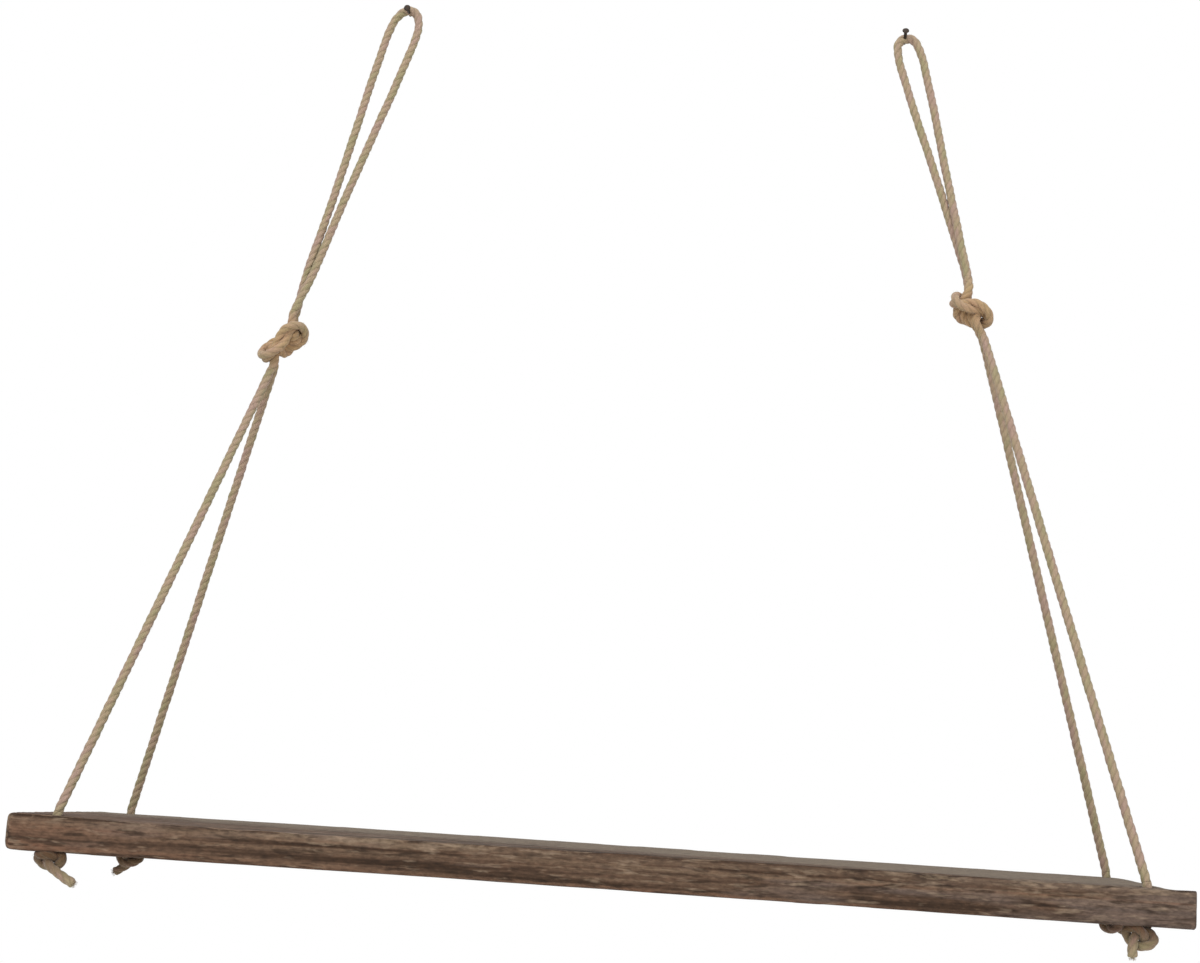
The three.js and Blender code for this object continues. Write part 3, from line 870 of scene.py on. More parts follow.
@dataclass
class Fuzz:
    """The loose fibres that stand out of the rope, and the tufts at its cut ends.

    Shares are of the longest fibre, of the highest one or of the rope's radius. The last value
    gives a side also to a fibre that points straight out of the rope.
    """

    hairs_per_metre: float = 1500.0
    fewest: int = 8
    hair_radius: float = 0.05 * MM
    tip_thinning: float = 0.7
    longest: float = 6.5 * MM
    shortest_share: float = 0.35
    length_power: float = 1.5
    highest: float = 1.5 * MM
    lowest_share: float = 0.1
    height_power: float = 1.4
    curl: float = 0.22
    slowing: float = 0.25
    rise_power: float = 0.8
    root_share: float = 0.9
    tuft_hairs: int = 90
    tuft_root_shares: tuple[float, float] = (0.1, 0.9)
    tuft_share: float = 0.35
    stations: int = 5
    sides: int = 3
    off_square: float = 0.01

    def along(self, line: Line, diameter: float, seed: int, frayed: Sequence[int] = ()) -> Surface:
        """Set loose fibres along a stretch of rope.

        Each is a thin three-sided tube. At a share s of its length it has run (1 - slowing x s) s of
        it along the rope, risen by s to the rise power and curled aside by s squared. At a frayed
        end a tuft of shorter ones points out of the cut.

        Args:
            line: the rope's middle line.
            diameter: the rope's diameter.
            seed: which fibres they are.
            frayed: 0 for a frayed first end, -1 for a frayed last end.

        Returns:
            The fibres, with the same values on their points as the rope's skin.
        """
        dice = np.random.default_rng(seed)
        count = max(int(self.hairs_per_metre * line.length()), self.fewest)
        scattered = dice.integers(0, len(line.points), count)
        ends = [0 if end == 0 else len(line.points) - 1 for end in frayed]
        root = np.concatenate([scattered, np.repeat(ends, self.tuft_hairs).astype(int)])
        total = len(root)
        in_tuft = (np.arange(total) >= count)[:, None]
        angle = dice.uniform(0, 2 * np.pi, total)[:, None]
        out = np.cos(angle) * line.normal[root] + np.sin(angle) * line.binormal[root]
        heading = np.where(dice.random(total) < 0.5, -1.0, 1.0)[:, None]
        place = line.arc[root][:, None]
        heading = np.where(place - line.arc[0] < self.longest, 1.0, heading)
        heading = np.where(line.arc[-1] - place < self.longest, -1.0, heading)
        heading = np.where(in_tuft, np.where(root[:, None] == 0, -1.0, 1.0), heading)
        root_share = np.where(in_tuft, dice.uniform(*self.tuft_root_shares, (total, 1)), self.root_share)
        root_radius = root_share * diameter / 2
        length = dice.uniform(self.shortest_share, 1, (total, 1)) ** self.length_power * self.longest
        length = np.where(in_tuft, self.tuft_share * length, length)
        rise = dice.uniform(self.lowest_share, 1, (total, 1)) ** self.height_power * self.highest
        rise = np.where(in_tuft, self.tuft_share * rise, rise)
        side = np.cross(line.tangent[root], out)
        curl = np.clip(dice.normal(0, self.curl, (total, 1)) * length, -self.highest, self.highest)
        share = np.linspace(0, 1, self.stations)[None, :, None]
        base = (line.points[root] + out * root_radius)[:, None]
        run = (heading * line.tangent[root] * length)[:, None]
        path = (base + run * share * (1 - self.slowing * share)
                + (out * rise)[:, None] * share ** self.rise_power + (side * curl)[:, None] * share ** 2)
        ways = unit(np.gradient(path, axis=1))
        first = unit(np.cross(ways, out[:, None] + self.off_square))
        second = np.cross(ways, first)
        corner = around(self.sides)[None, None, :, None]
        thin = (self.hair_radius * (1 - self.tip_thinning * share))[..., None]
        ring = np.cos(corner) * first[:, :, None] + np.sin(corner) * second[:, :, None]
        points = path[:, :, None] + thin * ring
        each = self.stations * self.sides
        shift = (np.arange(total) * each)[:, None, None]
        tube, *caps = capped(self.stations, self.sides)
        faces = [(f[None] + shift).reshape(-1, f.shape[1]) for f in (tube, np.concatenate(caps))]
        straight = np.concatenate([root_radius * np.cos(angle), root_radius * np.sin(angle), place], 1)
        return Surface(points.reshape(-1, 3), faces, {
            "straight": np.repeat(straight, each, 0),
            "strand": np.repeat(dice.integers(0, STRANDS, total), each).astype(float),
            # Loose fibres get no painted groove shade.
            "groove_shade": np.zeros(total * each)})


class End(Enum):
    """Which of a sling's two rope ends: the one in the plank's front hole or in its back one."""

    FRONT = "front"
    BACK = "back"


@dataclass(frozen=True)
class Knot:
    """An overhand knot before it is drawn tight, and the share of its rope that is pulled out."""

    ring: float
    wrap: float
    drawn: float


@dataclass(frozen=True)
class Stopper:
    """How one knot under the plank was tied: its tilt and turn in degrees, its tail, and its place.

    The last value is how far to the right of the hole's middle its rope comes up out of it.
    """

    lean: float
    turn: float
    tail: Triple
    tail_length: float
    aside: Triple = (0.0, 0.0, 0.0)
    in_hole: float = 0.0


@dataclass(frozen=True)
class Gather:
    """How one gather knot was tied.

    Its place is a share of the sling's length and a distance beside its line. Its tilt and turn
    are in degrees, and its stretch is how much longer than wide it is.
    """

    share: float
    lean: float
    turn: float
    stretch: float
    aside: float


@dataclass
class Shelf:
    """The sizes that the plank, the ropes and the nails share, in metres."""

    plank_length: float = 700 * MM
    plank_depth: float = 165 * MM
    plank_thickness: float = 21 * MM
    plank_top: float = -564.5 * MM
    hole_diameter: float = 8.5 * MM
    hole_to_end: float = 26 * MM
    hole_to_front: float = 11 * MM
    hole_to_back: float = 10 * MM
    nail_spacing: float = 350 * MM
    nail_heights: tuple[float, float] = (9.3 * MM, -0.6 * MM)
    nail_radius: float = 1.1 * MM
    rope_from_wall: float = 3.1 * MM
    seat_gap: float = 0.3 * MM

    def hole(self, sign: int, end: End) -> Array:
        """Where a hole is.

        Args:
            sign: 1 for the right rope's holes, -1 for the left one's.
            end: the front hole or the back one.

        Returns:
            The middle of the hole at the plank's upper face.
        """
        x = sign * (self.plank_length / 2 - self.hole_to_end)
        y = -self.hole_to_back if end is End.BACK else self.hole_to_front - self.plank_depth
        return np.array([x, y, self.plank_top])

    def nail(self, sign: int) -> Array:
        """Where a nail's axis meets the wall: the left one sits above the level, the right one below."""
        return np.array([sign * self.nail_spacing / 2, 0.0, self.nail_heights[sign > 0]])


@dataclass
class Sling:
    """One rope: tail and stopper knot, leg, gather knot, loop over the nail, and all of it back again.

    Its sign is 1 for the right rope and -1 for the left one.
    """

    shelf: Shelf
    name: str
    sign: int
    loop: Sequence[Triple]
    gather: Gather
    gather_knot: Knot
    stoppers: dict[End, Stopper]
    off_line: float = 0.0
    lay: RopeLay = field(default_factory=RopeLay)
    fuzz: Fuzz = field(default_factory=Fuzz)
    tightening: Tightening = field(default_factory=Tightening)
    front_stopper_knot: Knot = Knot(5.8 * MM, 4.6 * MM, 0.28)
    back_stopper_knot: Knot = Knot(4.8 * MM, 3.9 * MM, 0.33)
    bight_radius: float = 7 * MM
    bight_half_angle: float = 62.0
    bight_points: int = 13
    gather_tail: float = 23 * MM
    gather_leg_tail: float = 21 * MM
    lead_points: int = 4
    rope_above_hole: float = 3 * MM
    corner_above_hole: float = 0.5 * MM
    leg_points: int = 7
    leg_bend: float = 6 * MM
    bend_points: int = 5
    knot_reach: float = 13 * MM
    pressed_on_nail: float = 2.2 * MM
    pressed_up: float = 1.5 * MM
    warm_reach: float = 19 * MM
    # How far the painted shade under the plank reaches, further at the back, and how much sooner it ends up
    # in the hole.
    under_plank_shade_reach: float = 12 * MM
    back_under_plank_shade_reach: float = 28 * MM
    shade_sooner_above: float = 4.0
    # Two distances each: below the rope's top on the loop, and above the cut on a leg.
    bight_blend: tuple[float, float] = (4 * MM, 22 * MM)
    leg_blend: tuple[float, float] = (26 * MM, 1 * MM)
    path_thinning: int = 3
    step: float = 0.7 * MM
    smoothing: float = 0.9 * MM

    def __post_init__(self) -> None:
        """Find the sling's own directions: down its line, across its loop, and out of its plane."""
        s = self.shelf
        above = s.nail_radius + self.lay.outer_radius - self.pressed_on_nail
        self.top = s.nail(self.sign) + [0, -s.rope_from_wall, above]
        aim = s.hole(self.sign, End.BACK)
        aim[1] = -s.plank_depth / 2
        span = aim - self.top
        self.down = unit(span)
        self.across = unit(np.array([1.0, 0, 0]) - self.down[0] * self.down)
        self.outward = np.cross(self.down, self.across)
        self.knot = self.top + self.gather.share * span + self.off_line * self.across
        self.half_pair = (self.lay.diameter + s.seat_gap) / 2

    def knot_top(self, way: int) -> Array:
        """Where a strand enters the gather knot: 1 is the right strand, -1 the left one."""
        return self.knot - self.down * self.gather_tail + way * self.half_pair * self.outward

    def knot_foot(self, way: int) -> Array:
        """Where the same strand leaves the gather knot as a leg."""
        return self.knot + self.down * self.gather_leg_tail - way * self.half_pair * self.outward

    def leg_corner(self, end: End) -> Array:
        """The corner above a hole where a leg meets the upright, a little off the hole's middle."""
        return self.shelf.hole(self.sign, end) + [self.stoppers[end].in_hole, 0, self.corner_above_hole]

    def above_hole(self, end: End) -> Array:
        """Where a leg is cut from the rope that comes up out of its hole."""
        return self.shelf.hole(self.sign, end) + [0, 0, self.rope_above_hole]

    def bight(self) -> Array:
        """The arch in which the rope stands over the nail.

        Returns:
            Points along a circle's top, from left to right.
        """
        half, r = self.bight_half_angle, self.bight_radius
        angle = np.radians(np.linspace(-half, half, self.bight_points))[:, None]
        return self.top + self.across * r * np.sin(angle) + self.down * r * (1 - np.cos(angle))

    def loop_strand(self, way: int) -> Array:
        """One side of the loop, from below the bight to the gather knot.

        Args:
            way: 1 for the right strand, -1 for the left one.

        Returns:
            Points that stand off the sling's line by the loop's half gap, turned as the pair turns.
        """
        distance, half, turn = (np.array(column)[:, None] for column in zip(*self.loop))
        turn = np.radians(turn)
        share = distance * MM / ((self.knot - self.top) @ self.down)
        return (self.top + self.down * distance * MM + share * self.off_line * self.across
                + way * half * MM * (np.cos(turn) * self.across + np.sin(turn) * self.outward))

    @staticmethod
    def overhand(knot: Knot, stretch: float = 1.0, beside: float = 0.0) -> Array:
        """The body of a loosely tied overhand knot, in its own plane.

        The rope goes twice round a ring while it winds three times through it: at an angle t it is
        ring + wrap cos(1.5 t) from the middle and wrap sin(1.5 t) out of the plane. One strand of a
        pair lies beside this path on the ring's skin: it is moved square to the path's heading and
        to the direction away from the ring.

        Args:
            knot: the knot's sizes.
            stretch: how much longer than wide the knot is.
            beside: how far the strand lies beside the path.

        Returns:
            Points with the knot's own sideways, long and outward measures.
        """
        first_degree, last_degree, every = 75, 645, 15
        winding = 1.5
        t = np.radians(np.arange(first_degree, last_degree + 1, every))
        near = math.radians(1)
        before, path, after = (np.stack([
            (knot.ring + knot.wrap * np.cos(winding * a)) * np.cos(a),
            (knot.ring + knot.wrap * np.cos(winding * a)) * np.sin(a) * stretch,
            knot.wrap * np.sin(winding * a)], -1) for a in (t - near, t, t + near))
        wound = winding * t
        from_ring = np.stack([np.cos(wound) * np.cos(t), np.cos(wound) * np.sin(t), np.sin(wound)], -1)
        return path + beside * unit(np.cross(after - before, from_ring))

    def gathered(self) -> dict[int, Array]:
        """The two strands through the gather knot, tied side by side and drawn tight together.

        Returns:
            For each strand's way, 1 or -1, its points from the knot's top to its leg.
        """
        tied = self.gather
        pose = np.array(turned((tied.lean, "Z"), (tied.turn, "Y")))
        axes = np.stack([self.across, -self.down, self.outward])
        leads = np.arange(self.lead_points)[:, None] * self.lay.diameter / 2
        strands = {}
        for way, end in ((1, End.BACK), (-1, End.FRONT)):
            body = self.overhand(self.gather_knot, tied.stretch, -way * self.half_pair)
            body = (body + [self.gather_knot.ring / 2, 0, 0]) * [1, 1, -1]
            top, foot = self.knot_top(way), self.knot_foot(way)
            heading = unit(self.leg_corner(end) - foot)
            strands[way] = np.concatenate([
                top + leads * self.down, self.knot + body @ pose.T @ axes, foot - leads[::-1] * heading])
        tight = self.tightening.draw(list(strands.values()), self.gather_knot.drawn, self.lay.diameter)
        for strand in tight:
            from_middle = (strand - self.knot) @ self.down
            strand += bell(from_middle, self.knot_reach)[:, None] * tied.aside * self.across
        return dict(zip(strands, tight))

    def leg(self, way: int, end: End) -> Array:
        """A leg: straight from the gather knot, then bending upright above its hole.

        Args:
            way: which strand it is, 1 or -1.
            end: which hole it goes to.

        Returns:
            Its points, after the one where it leaves the knot; the bend is a quadratic curve with
            the corner as its middle point.
        """
        start = self.knot_foot(way)
        corner = self.leg_corner(end)
        heading = unit(corner - start)
        first = corner - heading * self.leg_bend
        last = corner - np.array([0, 0, self.leg_bend])
        t = np.linspace(0, 1, self.bend_points)[:, None]
        bend = (1 - t) ** 2 * first + 2 * t * (1 - t) * corner + t ** 2 * last
        share = np.linspace(0, 1, self.leg_points + 1)[1:, None]
        straight = start + (first - heading * self.lay.diameter / 2 - start) * share
        return np.concatenate([straight, bend])

    def stopper(self, end: End) -> Array:
        """The rope through its hole, its knot drawn tight against the plank, and its tail.

        Args:
            end: which hole it is.

        Returns:
            Points from inside the hole to the tail's tip.
        """
        tied = self.stoppers[end]
        pose = np.array(turned((tied.turn, "Z"), (tied.lean, "Y")))
        knot = self.back_stopper_knot if end is End.BACK else self.front_stopper_knot
        body = self.overhand(knot)[:, [0, 2, 1]] @ pose.T
        d = self.lay.diameter
        under = self.shelf.hole(self.sign, end) - [0, 0, self.shelf.plank_thickness]
        ceiling = under[2] - self.shelf.seat_gap - self.lay.outer_radius
        body += [under[0] - body[0, 0], under[1] - body[0, 1], ceiling - body[:, 2].max()]
        tail = unit(np.array(tied.tail)) * tied.tail_length
        loose = np.concatenate([[under + [0, 0, d], under], body, [body[-1] + tail / 2, body[-1] + tail]])
        tight = self.tightening.draw([loose], knot.drawn, d, ceiling)[0]
        beside_hole = np.linalg.norm(tight[:, :2] - under[:2], axis=1) > d / 2
        tight[:, 2] += ceiling - tight[beside_hole, 2].max()
        below = np.clip((under[2] - tight[:, 2:]) / d, 0, 1)
        tight += below * np.array(tied.aside)
        highest = np.where(below[:, 0] > 0, ceiling + self.pressed_up, np.inf)
        tight[:, 2] = np.minimum(tight[:, 2], highest)
        return tight

    def build(self, jute: bpy.types.Material) -> list[bpy.types.Object]:
        """Lay the whole rope as one line, cut it where it meets a knot, and make the pieces.

        Args:
            jute: the rope's material.

        Returns:
            The pieces.
        """
        route = {1: End.BACK, -1: End.FRONT}
        gathered = self.gathered()
        halves = {way: np.concatenate([self.loop_strand(way), gathered[way], self.leg(way, end),
                                       self.stopper(end)]) for way, end in route.items()}
        whole = Line.through(np.concatenate([halves[-1][::-1], self.bight(), halves[1]]),
                             self.step, self.smoothing)
        marks = {end: [whole.nearest(place) for place in (
            self.knot_top(way), self.knot_foot(way), self.above_hole(end))] for way, end in route.items()}
        front_top, front_foot, front_hole = marks[End.FRONT]
        back_top, back_foot, back_hole = marks[End.BACK]
        stretches = {
            "loop": [whole.part(front_top, back_top)],
            "gather_knot": [whole.part(front_foot, front_top), whole.part(back_top, back_foot)],
            "front_leg": [whole.part(front_hole, front_foot)],
            "back_leg": [whole.part(back_foot, back_hole)],
            "front_stopper_knot": [whole.part(0, front_hole)],
            "back_stopper_knot": [whole.part(back_hole, len(whole.points) - 1)]}
        frayed = {"front_stopper_knot": (0,), "back_stopper_knot": (-1,)}
        pieces = {part: self.piece(part, lines, jute, frayed.get(part, ()))
                  for part, lines in stretches.items()}
        self.declare(pieces, stretches)
        return list(pieces.values())

    def warmth_and_shade(self, points: Array) -> Array:
        """How warm the rope is, and how much painted shade it has under the plank.

        Both die away with the distance: the painted shade along a bell curve, and the warmth along one
        with a flatter top, e to minus the distance to the fourth. The painted shade reaches further down
        at the back, and up inside the hole it ends sooner.

        Args:
            points: points of the rope's skin.

        Returns:
            For each point 1 in the middle of the gather knot, and -1, full painted shade, right under the
            plank.
        """
        from_knot = np.linalg.norm(points - self.knot, axis=1) / self.warm_reach
        at_back = points[:, 1] > -self.shelf.plank_depth / 2
        reach = np.where(at_back, self.back_under_plank_shade_reach, self.under_plank_shade_reach)
        below = self.shelf.plank_top - self.shelf.plank_thickness - points[:, 2]
        return np.exp(-from_knot ** 4) - bell(np.maximum(below, -self.shade_sooner_above * below), reach)

    def piece(self, part: str, lines: Sequence[Line], jute: bpy.types.Material,
              frayed: Sequence[int] = ()) -> bpy.types.Object:
        """Make one piece of rope.

        Args:
            part: which part of the sling it is.
            lines: its middle lines.
            jute: its material.
            frayed: 0 or -1 where its first or last end is cut.

        Returns:
            The piece.
        """
        surfaces = []
        for number, line in enumerate(lines):
            skin = self.lay.surface(line, 0 not in frayed, -1 not in frayed, self.top)
            seed = sum(ord(c) for c in self.name + part) + number
            surfaces.append(skin.joined(self.fuzz.along(line, self.lay.diameter, seed, frayed)))
        made = reduce(Surface.joined, surfaces)
        # Warmth on the gather knot, less painted shade under the plank.
        made.values["warmth_and_shade"] = self.warmth_and_shade(made.points)
        piece = made.mesh(f"{self.name}_{part}_jute")
        piece.data.materials.append(jute)
        return piece

    def declare(self, pieces: dict[str, bpy.types.Object], stretches: dict[str, list[Line]]) -> None:
        """Say what each piece rides on, replaces and measures.

        Args:
            pieces: the sling's pieces by part.
            stretches: the middle lines of each part.
        """
        side, sling = self.name, f"{self.name}_sling"
        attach(pieces["gather_knot"], sling)
        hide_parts(f"{side}_gather_knot")
        for end in End:
            stopper = pieces[f"{end.value}_stopper_knot"]
            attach(stopper, "board")
            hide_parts(f"{side}_{end.value}_stopper_knot")
        loop = pieces["loop"]
        high, low = (self.top + self.down * reach for reach in self.bight_blend)
        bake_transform(loop)
        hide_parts(f"{side}_nail_bight", f"{side}_loop_left_strand", f"{side}_loop_right_strand")
        for end in End:
            leg = pieces[f"{end.value}_leg"]
            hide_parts(f"{side}_{end.value}_leg")
            if self.sign < 0:
                high, low = (self.above_hole(end) + [0, 0, reach] for reach in self.leg_blend)
                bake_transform(leg)
            else:
                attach(leg, sling)
        for part, knot in (("loop", "gather_knot"), ("front_leg", "front_stopper_knot"),
                           ("back_leg", "back_stopper_knot")):
            line = stretches[part][0]
            line.length()
            LOG.info("%s %s: %.3f m of rope", side, part, line.length())


@dataclass
class Plank:
    """The plank: long, thick, with worn edges, shallow dents and four rope holes."""

    shelf: Shelf
    long_step: float = 2.6 * MM
    # How far from the left and the right end the evenly spaced rings begin and stop.
    evenly_from_end: tuple[float, float] = (7.5 * MM, 7 * MM)
    end_rings_mm: tuple[float, ...] = (0.0, 0.25, 0.6, 1.0, 1.5, 2.2, 3.0, 4.0, 5.5)
    end_face_rings: int = 7
    wide_points: int = 56
    side_points: int = 15
    corner_points: int = 6
    long_edge: float = 1.6 * MM
    # Radii at the left and at the right end.
    end_rounding: tuple[float, float] = (4.6 * MM, 1.1 * MM)
    plan_corner: tuple[float, float] = (6 * MM, 2.5 * MM)
    wear: float = 0.6 * MM
    worn_width: float = 2.2 * MM
    wear_mean: float = 0.45
    wear_spread: float = 0.8
    wear_most: float = 1.6
    wear_field: Unevenness = Unevenness(60 * MM, 20 * MM, 21, 11, 0.12)
    furrow: float = 0.12 * MM
    furrow_field: Unevenness = Unevenness(110 * MM, 6 * MM, 33, 14, 0.2)
    bow: float = 0.3 * MM
    bow_field: Unevenness = Unevenness(500 * MM, 400 * MM, 8, 4, 0.5)
    streak_depth: float = 3 * MM
    streak_width: float = 3 * MM
    left_lift: float = 1.5 * MM
    left_lift_reach: float = 55 * MM
    left_growth: float = 0.9 * MM
    right_swell: float = 1.2 * MM
    right_dip: float = 2.8 * MM
    right_dip_reach: float = 11 * MM
    pale_end: float = 3.5 * MM
    pale_end_wear: float = 1.4
    # Where the upper face's grey begins, as shares of the half depth, at shares of the half length.
    greyed_along: tuple[float, ...] = (-1.0, -0.3, 0.3, 1.0)
    greyed_across: tuple[float, ...] = (0.15, -0.15, -0.7, -1.2)
    grey_field: Unevenness = Unevenness(90 * MM, 90 * MM, 12)
    grey_wander: float = 0.2
    grey_border: float = 0.9
    # Where each value begins to rise, and over what width it rises to 1.
    facing_up: tuple[float, float] = (0.85, 0.13)
    low_band: tuple[float, float] = (0.55, 0.4)
    left_band: tuple[float, float] = (120 * MM, 220 * MM)
    right_band: tuple[float, float] = (100 * MM, 200 * MM)
    hole_sides: int = 32
    hole_flare: float = 1.1 * MM
    # How much of the flare a hole has at these depths under the face.
    flare_shares: tuple[float, ...] = (2.4, 1.0, 0.35, 0.0)
    flare_depths_mm: tuple[float, ...] = (-2.0, -0.15, 0.4, 1.1)

    def section(self) -> Array:
        """The section's outline as shares and directions.

        Each side of the rounded rectangle is a straight run of points, and each corner a quarter
        circle.

        Returns:
            Four rows: how far along the depth and the thickness each point is, from -1 to 1, and the
            sideways and upward parts of the direction in which its corner circle pushes it.
        """
        wide, side = (np.linspace(-1, 1, count + 2)[1:-1] for count in (self.wide_points, self.side_points))
        arc = np.linspace(0, np.pi / 2, self.corner_points)
        runs = []
        for quarter, (sy, sz) in enumerate(((1, 1), (-1, 1), (-1, -1), (1, -1))):
            angle = arc + quarter * np.pi / 2
            runs.append((sy + 0 * arc, sz + 0 * arc, np.cos(angle), np.sin(angle)))
            flip = -1 if quarter < 2 else 1
            if quarter % 2 == 0:
                runs.append((flip * wide, sz + 0 * wide, 0 * wide, sz + 0 * wide))
            else:
                runs.append((sy + 0 * side, flip * side, sy + 0 * side, 0 * side))
        return np.concatenate([np.array(run) for run in runs], 1)

    def rings(self) -> Array:
        """The plank's bare skin as rings along its length.

        A ring has the half depth and half thickness of the plank less the rounding of its plan
        corners and end edges: at a distance q from the end, inside a radius r, the inset is
        r - sqrt(r^2 - (r - q)^2). Each ring is the section scaled to these, and the end faces are
        ever smaller copies of the last ring.

        Returns:
            A grid of points round the plank's own middle.
        """
        s = self.shelf
        half = s.plank_length / 2
        near = np.array(self.end_rings_mm) * MM
        from_left, from_right = self.evenly_from_end
        inner = np.arange(-half + from_left, half - from_right, self.long_step)
        x = np.concatenate([-half + near, inner, (half - near)[::-1]])
        from_end = half - np.abs(x)
        corner, edge = (np.where(x < 0, *pair) for pair in (self.plan_corner, self.end_rounding))
        inset_y, inset_z = (r - np.sqrt(r ** 2 - np.clip(r - from_end, 0, r) ** 2) for r in (corner, edge))
        half_y = (s.plank_depth / 2 - inset_y)[:, None]
        half_z = (s.plank_thickness / 2 - inset_z)[:, None]
        sy, sz, ny, nz = self.section()
        y = sy * (half_y - self.long_edge) + self.long_edge * ny
        z = sz * (half_z - self.long_edge) + self.long_edge * nz
        grid = together(x[:, None], y, z)
        closing = np.linspace(1, 0, self.end_face_rings + 2)[1:-1, None, None]
        first, last = (np.where([True, False, False], row, row * closing) for row in (grid[0], grid[-1]))
        return np.concatenate([first[::-1], grid, last])

    def surface(self) -> Surface:
        """The plank's skin, worn and weathered.

        The long edges are worn inwards by an uneven field that dies away from them along a bell
        curve. All of the skin has shallow furrows drawn out along the grain, and a slight bow. The
        left end's front corner stands a little up, the underside swells towards the right end, and
        behind the front edge the upper face dips at the right end; the lift and the dip are bell
        curves of the distance from the end.

        Returns:
            The skin, with the values that its finish reads on its points.
        """
        s = self.shelf
        half_length = s.plank_length / 2
        grid = self.rings()
        along = grid[..., 0]
        sy, sz, ny, nz = self.section()
        side_on, flat_on = np.abs(sy) == 1, np.abs(sz) == 1
        at_corner = 1 * (side_on & flat_on)
        far_off = 1.0
        from_edge = np.minimum(np.where(flat_on, (1 - np.abs(sy)) * s.plank_depth / 2, far_off),
                               np.where(side_on, (1 - np.abs(sz)) * s.plank_thickness / 2, far_off))
        wear = np.clip(self.wear_mean + self.wear_spread * self.wear_field.at(grid), 0, self.wear_most)
        worn = bell(from_edge, self.worn_width) * wear
        inward = -np.stack([0 * sy, np.sign(sy) * (at_corner + side_on) / 2,
                            np.sign(sz) * (at_corner + flat_on) / 2], -1)
        furrow = self.furrow_field.at(grid) * self.furrow
        bow = self.bow_field.at(grid) * self.bow
        facing = np.stack([0 * ny, ny, nz], -1)
        points = (grid + inward * (worn * self.wear)[..., None]
                  + facing * (furrow + bow - self.furrow)[..., None])
        frontward, upper = 0.5 - 0.5 * sy, 0.5 + 0.5 * sz
        from_left, from_right = along + half_length, half_length - along
        at_left = bell(from_left, self.left_lift_reach)
        lift = at_left * self.left_lift * frontward * upper
        swell = rising(along, 0, half_length) * self.right_swell * (1 - upper)
        behind_front = rising((1 + sy) * s.plank_depth / 2, 0, self.right_dip_reach)
        dip = bell(from_right, self.right_dip_reach) * self.right_dip
        points[..., 2] += lift - swell - dip * behind_front * upper
        points[..., 0] -= at_left * self.left_growth
        brown_until = (np.interp(along / half_length, self.greyed_along, self.greyed_across)
                       + self.grey_wander * self.grey_field.at(grid))
        greyed = np.clip((sy - brown_until) / self.grey_border + 0.5, 0, 1)
        below_top = s.plank_thickness / 2 - grid[..., 2]
        values = {
            "worn": worn * upper + self.pale_end_wear * bell(from_left, self.pale_end),
            "upward": rising(nz, *self.facing_up) * greyed,
            "under_edge": bell(below_top - self.streak_depth, self.streak_width),
            "low": rising(below_top / s.plank_thickness, *self.low_band),
            "left": rising(-along, *self.left_band),
            "right": rising(along, *self.right_band)}
        middle = np.array([0, -s.plank_depth / 2, s.plank_top - s.plank_thickness / 2])
        half = np.array([half_length, 0, 0])
        return Surface(np.concatenate([points.reshape(-1, 3) + middle, [middle - half, middle + half]]),
                       pointed(*grid.shape[:2]),
                       {name: np.append(value.ravel(), [0, 0]) for name, value in values.items()})

    def drill(self) -> Surface:
        """The four hole cutters: each a turned shape as wide as the hole, flared at both faces.

        Returns:
            The cutters, from above the upper face to below the underside.
        """
        s = self.shelf
        flare = np.array([*self.flare_shares, *self.flare_shares[::-1]]) * self.hole_flare
        into = np.array(self.flare_depths_mm) * MM
        height = np.concatenate([-into, into[::-1] - s.plank_thickness])[:, None]
        radius = (s.hole_diameter / 2 + flare)[:, None]
        angle = around(self.hole_sides)
        cutter = together(radius * np.cos(angle), radius * np.sin(angle), height).reshape(-1, 3)
        faces = capped(len(height), self.hole_sides, clockwise=True)
        holes = [Surface(cutter + s.hole(sign, end), faces) for sign in (-1, 1) for end in End]
        return reduce(Surface.joined, holes)

    def build(self, pine: bpy.types.Material) -> bpy.types.Object:
        """Make the plank, drill its holes and dress it.

        Args:
            pine: the plank's material.

        Returns:
            The plank.
        """
        piece = self.surface().mesh("plank_weathered")
        cutter = self.drill().mesh("hole_cutter")
        cut = piece.modifiers.new("holes", "BOOLEAN")
        cut.operation = "DIFFERENCE"
        cut.solver = "EXACT"
        cut.object = cutter
        done = bpy.data.meshes.new_from_object(piece.evaluated_get(bpy.context.evaluated_depsgraph_get()))
        piece.modifiers.clear()
        piece.data = done
        bpy.data.objects.remove(cutter)
        piece.data.materials.clear()
        piece.data.materials.append(pine)
        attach(piece, "board")
        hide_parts("shelf_board")
        return piece


